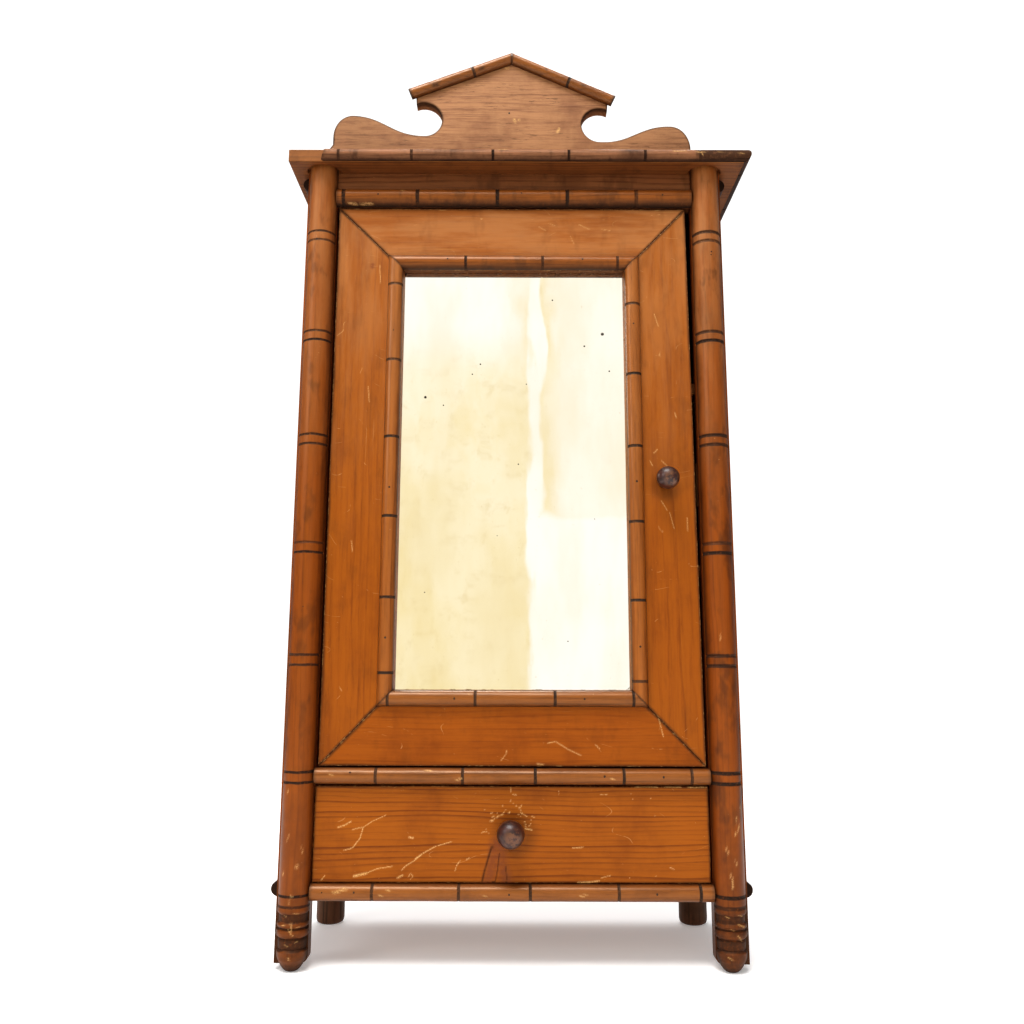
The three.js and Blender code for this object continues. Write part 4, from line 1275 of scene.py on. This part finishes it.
def crown(node, along, x, z):
    """The front of a half-round stick at a place on it."""
    lo, hi = span(node)
    if along == "x":
        share = (z - (lo.z + hi.z) / 2) / ((hi.z - lo.z) / 2)
    else:
        share = (x - (lo.x + hi.x) / 2) / ((hi.x - lo.x) / 2)
    return (x, hi.y - (hi.y - lo.y) * FILL_ROUGH * math.sqrt(max(0.0, 1 - share * share)), z)


# x and z of the nails in each moulding and in the columns' shafts
MOULDING_NAILS = {
    "bottom_moulding": ((-132.3, 52), (-110, 52), (101, 51.5), (-2, 51)),
    "divider_moulding": ((-115.4, 132.5), (65.6, 130.5), (107.5, 130.2)),
    "frieze_moulding": ((-108, 577), (6, 578), (118, 577)),
}
SHAFT_NAILS = ((-154.0, 537), (154.0, 527), (153.7, 524.5), (-152.5, 250))
CREST_NAIL = (-4.0, 646)
DOOR_NAILS = {
    "door_moulding_left": ("z", ((-93, 464), (-93, 340), (-93, 228))),
    "door_moulding_right": ("z", ((93, 470), (93, 345), (93, 222))),
    "door_moulding_bottom": ("x", ((-42, 184.5), (52, 184.5))),
    "door_moulding_top": ("x", ((-52, 523), (54, 523))),
}


def all_nails():
    carcass = [crown(node, "x", x, z) for node, places in MOULDING_NAILS.items() for x, z in places]
    carcass += [(x, -COLUMN_R * 0.99, z) for x, z in SHAFT_NAILS]
    carcass.append((CREST_NAIL[0], span("crest_board")[0].y, CREST_NAIL[1]))
    nails("carcass_nails", "carcass", carcass)
    door = [crown(node, along, x, z) for node, (along, places) in DOOR_NAILS.items() for x, z in places]
    nails("door_nails", "door", door)


# ---------------------------------------------------------------- CAD nodes that stay

KEPT = {
    "upright": ["stile_left", "stile_right"],
    "side": ["side_panel_left", "side_panel_right"],
    "cornice": ["cornice_board", "divider_board", "bottom_board"],
    "frieze": ["frieze_rail"],
    "shelf": ["shelf_lower", "shelf_upper"],
    "raw": [
        "back_board_left", "back_board_middle", "back_board_right", "mirror_backing", "latch_keeper",
        "latch_tongue", "backing_strip_top", "backing_strip_bottom", "door_stop", "drawer_back",
    ],
    "raw_y": [
        "drawer_guide_left", "drawer_guide_right", "shelf_cleat_lower_left", "shelf_cleat_lower_right",
        "shelf_cleat_upper_left", "shelf_cleat_upper_right", "drawer_side_left", "drawer_side_right",
        "drawer_bottom",
    ],
}


# edge radii smaller than 0.5 mm
EASED = {"raw": 0.15}


def finish_kept_nodes():
    for key, nodes in KEPT.items():
        for name in nodes:
            node = frame["nodes"][name]
            node.data.materials.clear()
            node.data.materials.append(MATERIALS[key])
            weld = node.modifiers.new("weld", "WELD")
            weld.merge_threshold = 0.01 * MM
            bevel = node.modifiers.new("eased_edges", "BEVEL")
            bevel.width = EASED.get(key, 0.5) * MM
            bevel.segments = 2
            bevel.limit_method = "ANGLE"
    for name in ("pivot_pin_bottom", "pivot_pin_top", "latch_spindle"):
        node = frame["nodes"][name]
        node.data.materials.clear()
        node.data.materials.append(IRON)


# ---------------------------------------------------------------- studio and camera


def pale_floor():
    s = Shader("pale_floor")
    cloud = s.noise(s.mm, (420, 420, 420), 4, 0.6)
    base = s.mix(s.smooth(cloud, 0.3, 0.7), colour(252, 252, 252), colour(247, 247, 247))
    s.surface.inputs["Emission Color"].default_value = (1, 1, 1, 1)
    s.surface.inputs["Emission Strength"].default_value = 0.22
    return s.finish(base, 0.9)


def cream_wall():
    """What the mirror shows: a plain cream wall, softly clouded, with a white panel beside and above it. It
    glows with its own colour instead of being lit: painted light.
    """
    s = Shader("cream_wall")
    x, _, z = s.split()
    cloud = s.noise(s.mm, (420, 420, 560), 5, 0.62)
    mottle = s.noise(s.mm, (60, 60, 60), 5, 0.7)
    tone = s.mix(s.smooth(cloud, 0.36, 0.66), colour(252, 245, 222), colour(243, 228, 184))
    tone = s.mix(s.smooth(z, 1250, 420, 0.0, 0.4), tone, colour(240, 222, 168))
    tone = s.mix(s.smooth(mottle, 0.5, 0.78, 0.0, 0.4), tone, colour(214, 190, 134))
    wavy = s.plus(x, s.swing(s.noise(s.mm, (90, 90, 200), 3, 0.6), 60.0))
    strip = s.times(s.smooth(wavy, 40, 60), s.smooth(wavy, 110, 92))
    beside = s.smooth(wavy, 92, 170, 0.0, 0.75)
    low = s.times(s.smooth(wavy, 60, 80), s.smooth(z, 760, 700))
    above = s.times(s.smooth(z, 1190, 1420), s.smooth(s.plus(wavy, s.times(cloud, 500.0)), 480, 180))
    lit = s.math("MAXIMUM", s.math("MAXIMUM", strip, beside), s.math("MAXIMUM", low, above))
    tone = s.mix(lit, tone, colour(255, 253, 247))
    s.feed(s.surface.inputs["Emission Color"], tone)
    s.surface.inputs["Emission Strength"].default_value = 0.93
    return s.finish((0, 0, 0, 1), 1.0, Specular_IOR_Level=0.0)


def stage(name, corners, material):
    mesh = bpy.data.meshes.new(name)
    mesh.from_pydata(corners, [], [tuple(range(len(corners)))])
    mesh.materials.append(material)
    made = bpy.data.objects.new(name, mesh)
    bpy.context.scene.collection.objects.link(made)
    return made


def lamp(name, place, target, size, power, tint=(1, 1, 1)):
    light = bpy.data.lights.new(name, "AREA")
    light.shape = "RECTANGLE"
    light.size, light.size_y = size
    light.energy = power
    light.color = tint
    made = bpy.data.objects.new(name, light)
    made.location = place
    made.rotation_euler = (Vector(target) - Vector(place)).to_track_quat("-Z", "Y").to_euler()
    made.visible_camera = False
    bpy.context.scene.collection.objects.link(made)


FLOOR_RADIUS = 1.05
WALL_X, WALL_Y, WALL_TOP = 1.6, -2.4, 2.0


def rectangle(first, third):
    """Four corners in order, from two opposite ones."""
    return [first, (third[0], first[1]), third, (first[0], third[1])]


def studio():
    (rim,) = turned([(FLOOR_RADIUS, 0)], 96)
    stage("floor", rim, pale_floor())
    wall = rectangle((WALL_X, 0), (-WALL_X, WALL_TOP))
    stage("backdrop", [(x, WALL_Y, z) for x, z in wall], cream_wall()).visible_camera = False
    # floor that only the mirror shows, up to the wall, just under the round floor
    strip = rectangle((-WALL_X, WALL_Y), (WALL_X, -0.9 * FLOOR_RADIUS))
    ahead = stage("floor_ahead", [(x, y, -0.002) for x, y in strip], pale_floor())
    ahead.visible_camera = False
    ahead.visible_diffuse = False
    lamp("sky", (-0.35, -1.0, 2.3), (0, 0, 0.3), (1.3, 0.8), 47, (1.0, 0.98, 0.96))
    lamp("back", (0.1, 1.1, 2.2), (0, 1.0, 0), (1.6, 1.2), 30)
    lamp("side", (-1.5, -1.2, 1.1), (0, 0, 0.35), (0.7, 0.7), 7)
    world = bpy.data.worlds.new("studio")
    bpy.context.scene.world = world
    world.use_nodes = True
    tree = world.node_tree
    seen = tree.nodes.new("ShaderNodeLightPath")
    tone = tree.nodes.new("ShaderNodeMix")
    tone.data_type = "RGBA"
    tone.inputs[6].default_value = (0.26, 0.26, 0.27, 1)
    tone.inputs[7].default_value = (1, 1, 1, 1)
    tree.links.new(seen.outputs["Is Camera Ray"], tone.inputs[0])
    tree.links.new(tone.outputs[2], tree.nodes["Background"].inputs["Color"])


# the photo's viewpoint: millimetres of lens on a 36 mm sensor, metres, and degrees of turn, tilt and roll
LENS = 31.64
CAMERA_PLACE = (-0.00493, -0.72375, 0.20559)
TURN, TILT, ROLL = 0.01, 99.90, 0.18


def camera():
    data = bpy.data.cameras.new("camera")
    data.sensor_width = 36.0
    data.lens = LENS
    made = bpy.data.objects.new("camera", data)
    turn = Matrix.Rotation(math.radians(TURN), 4, "Z")
    tilt = Matrix.Rotation(math.radians(TILT), 4, "X")
    roll = Matrix.Rotation(math.radians(ROLL), 4, "Z")
    made.rotation_euler = (turn @ tilt @ roll).to_euler()
    made.location = CAMERA_PLACE
    bpy.context.scene.collection.objects.link(made)
    bpy.context.scene.camera = made
    bpy.context.scene.view_settings.view_transform = "Standard"
    bpy.context.scene.view_settings.look = "Medium High Contrast"


# ---------------------------------------------------------------- assembly

for side in ("left", "right"):
    column(side)
    back_foot(side)
moulding("frieze_moulding", "carcass", "moulding_smoked")
moulding("divider_moulding", "carcass", "moulding")
moulding("bottom_moulding", "carcass", "moulding")
door_mouldings()
cornice_mouldings()
side_mouldings()
gable_mouldings()
crest()
knob("door_knob", "latch", 0.98)
knob("drawer_knob", "drawer", 1.0)
door_frame()
drawer_front()
mirror()
all_nails()
finish_kept_nodes()
studio()
camera()
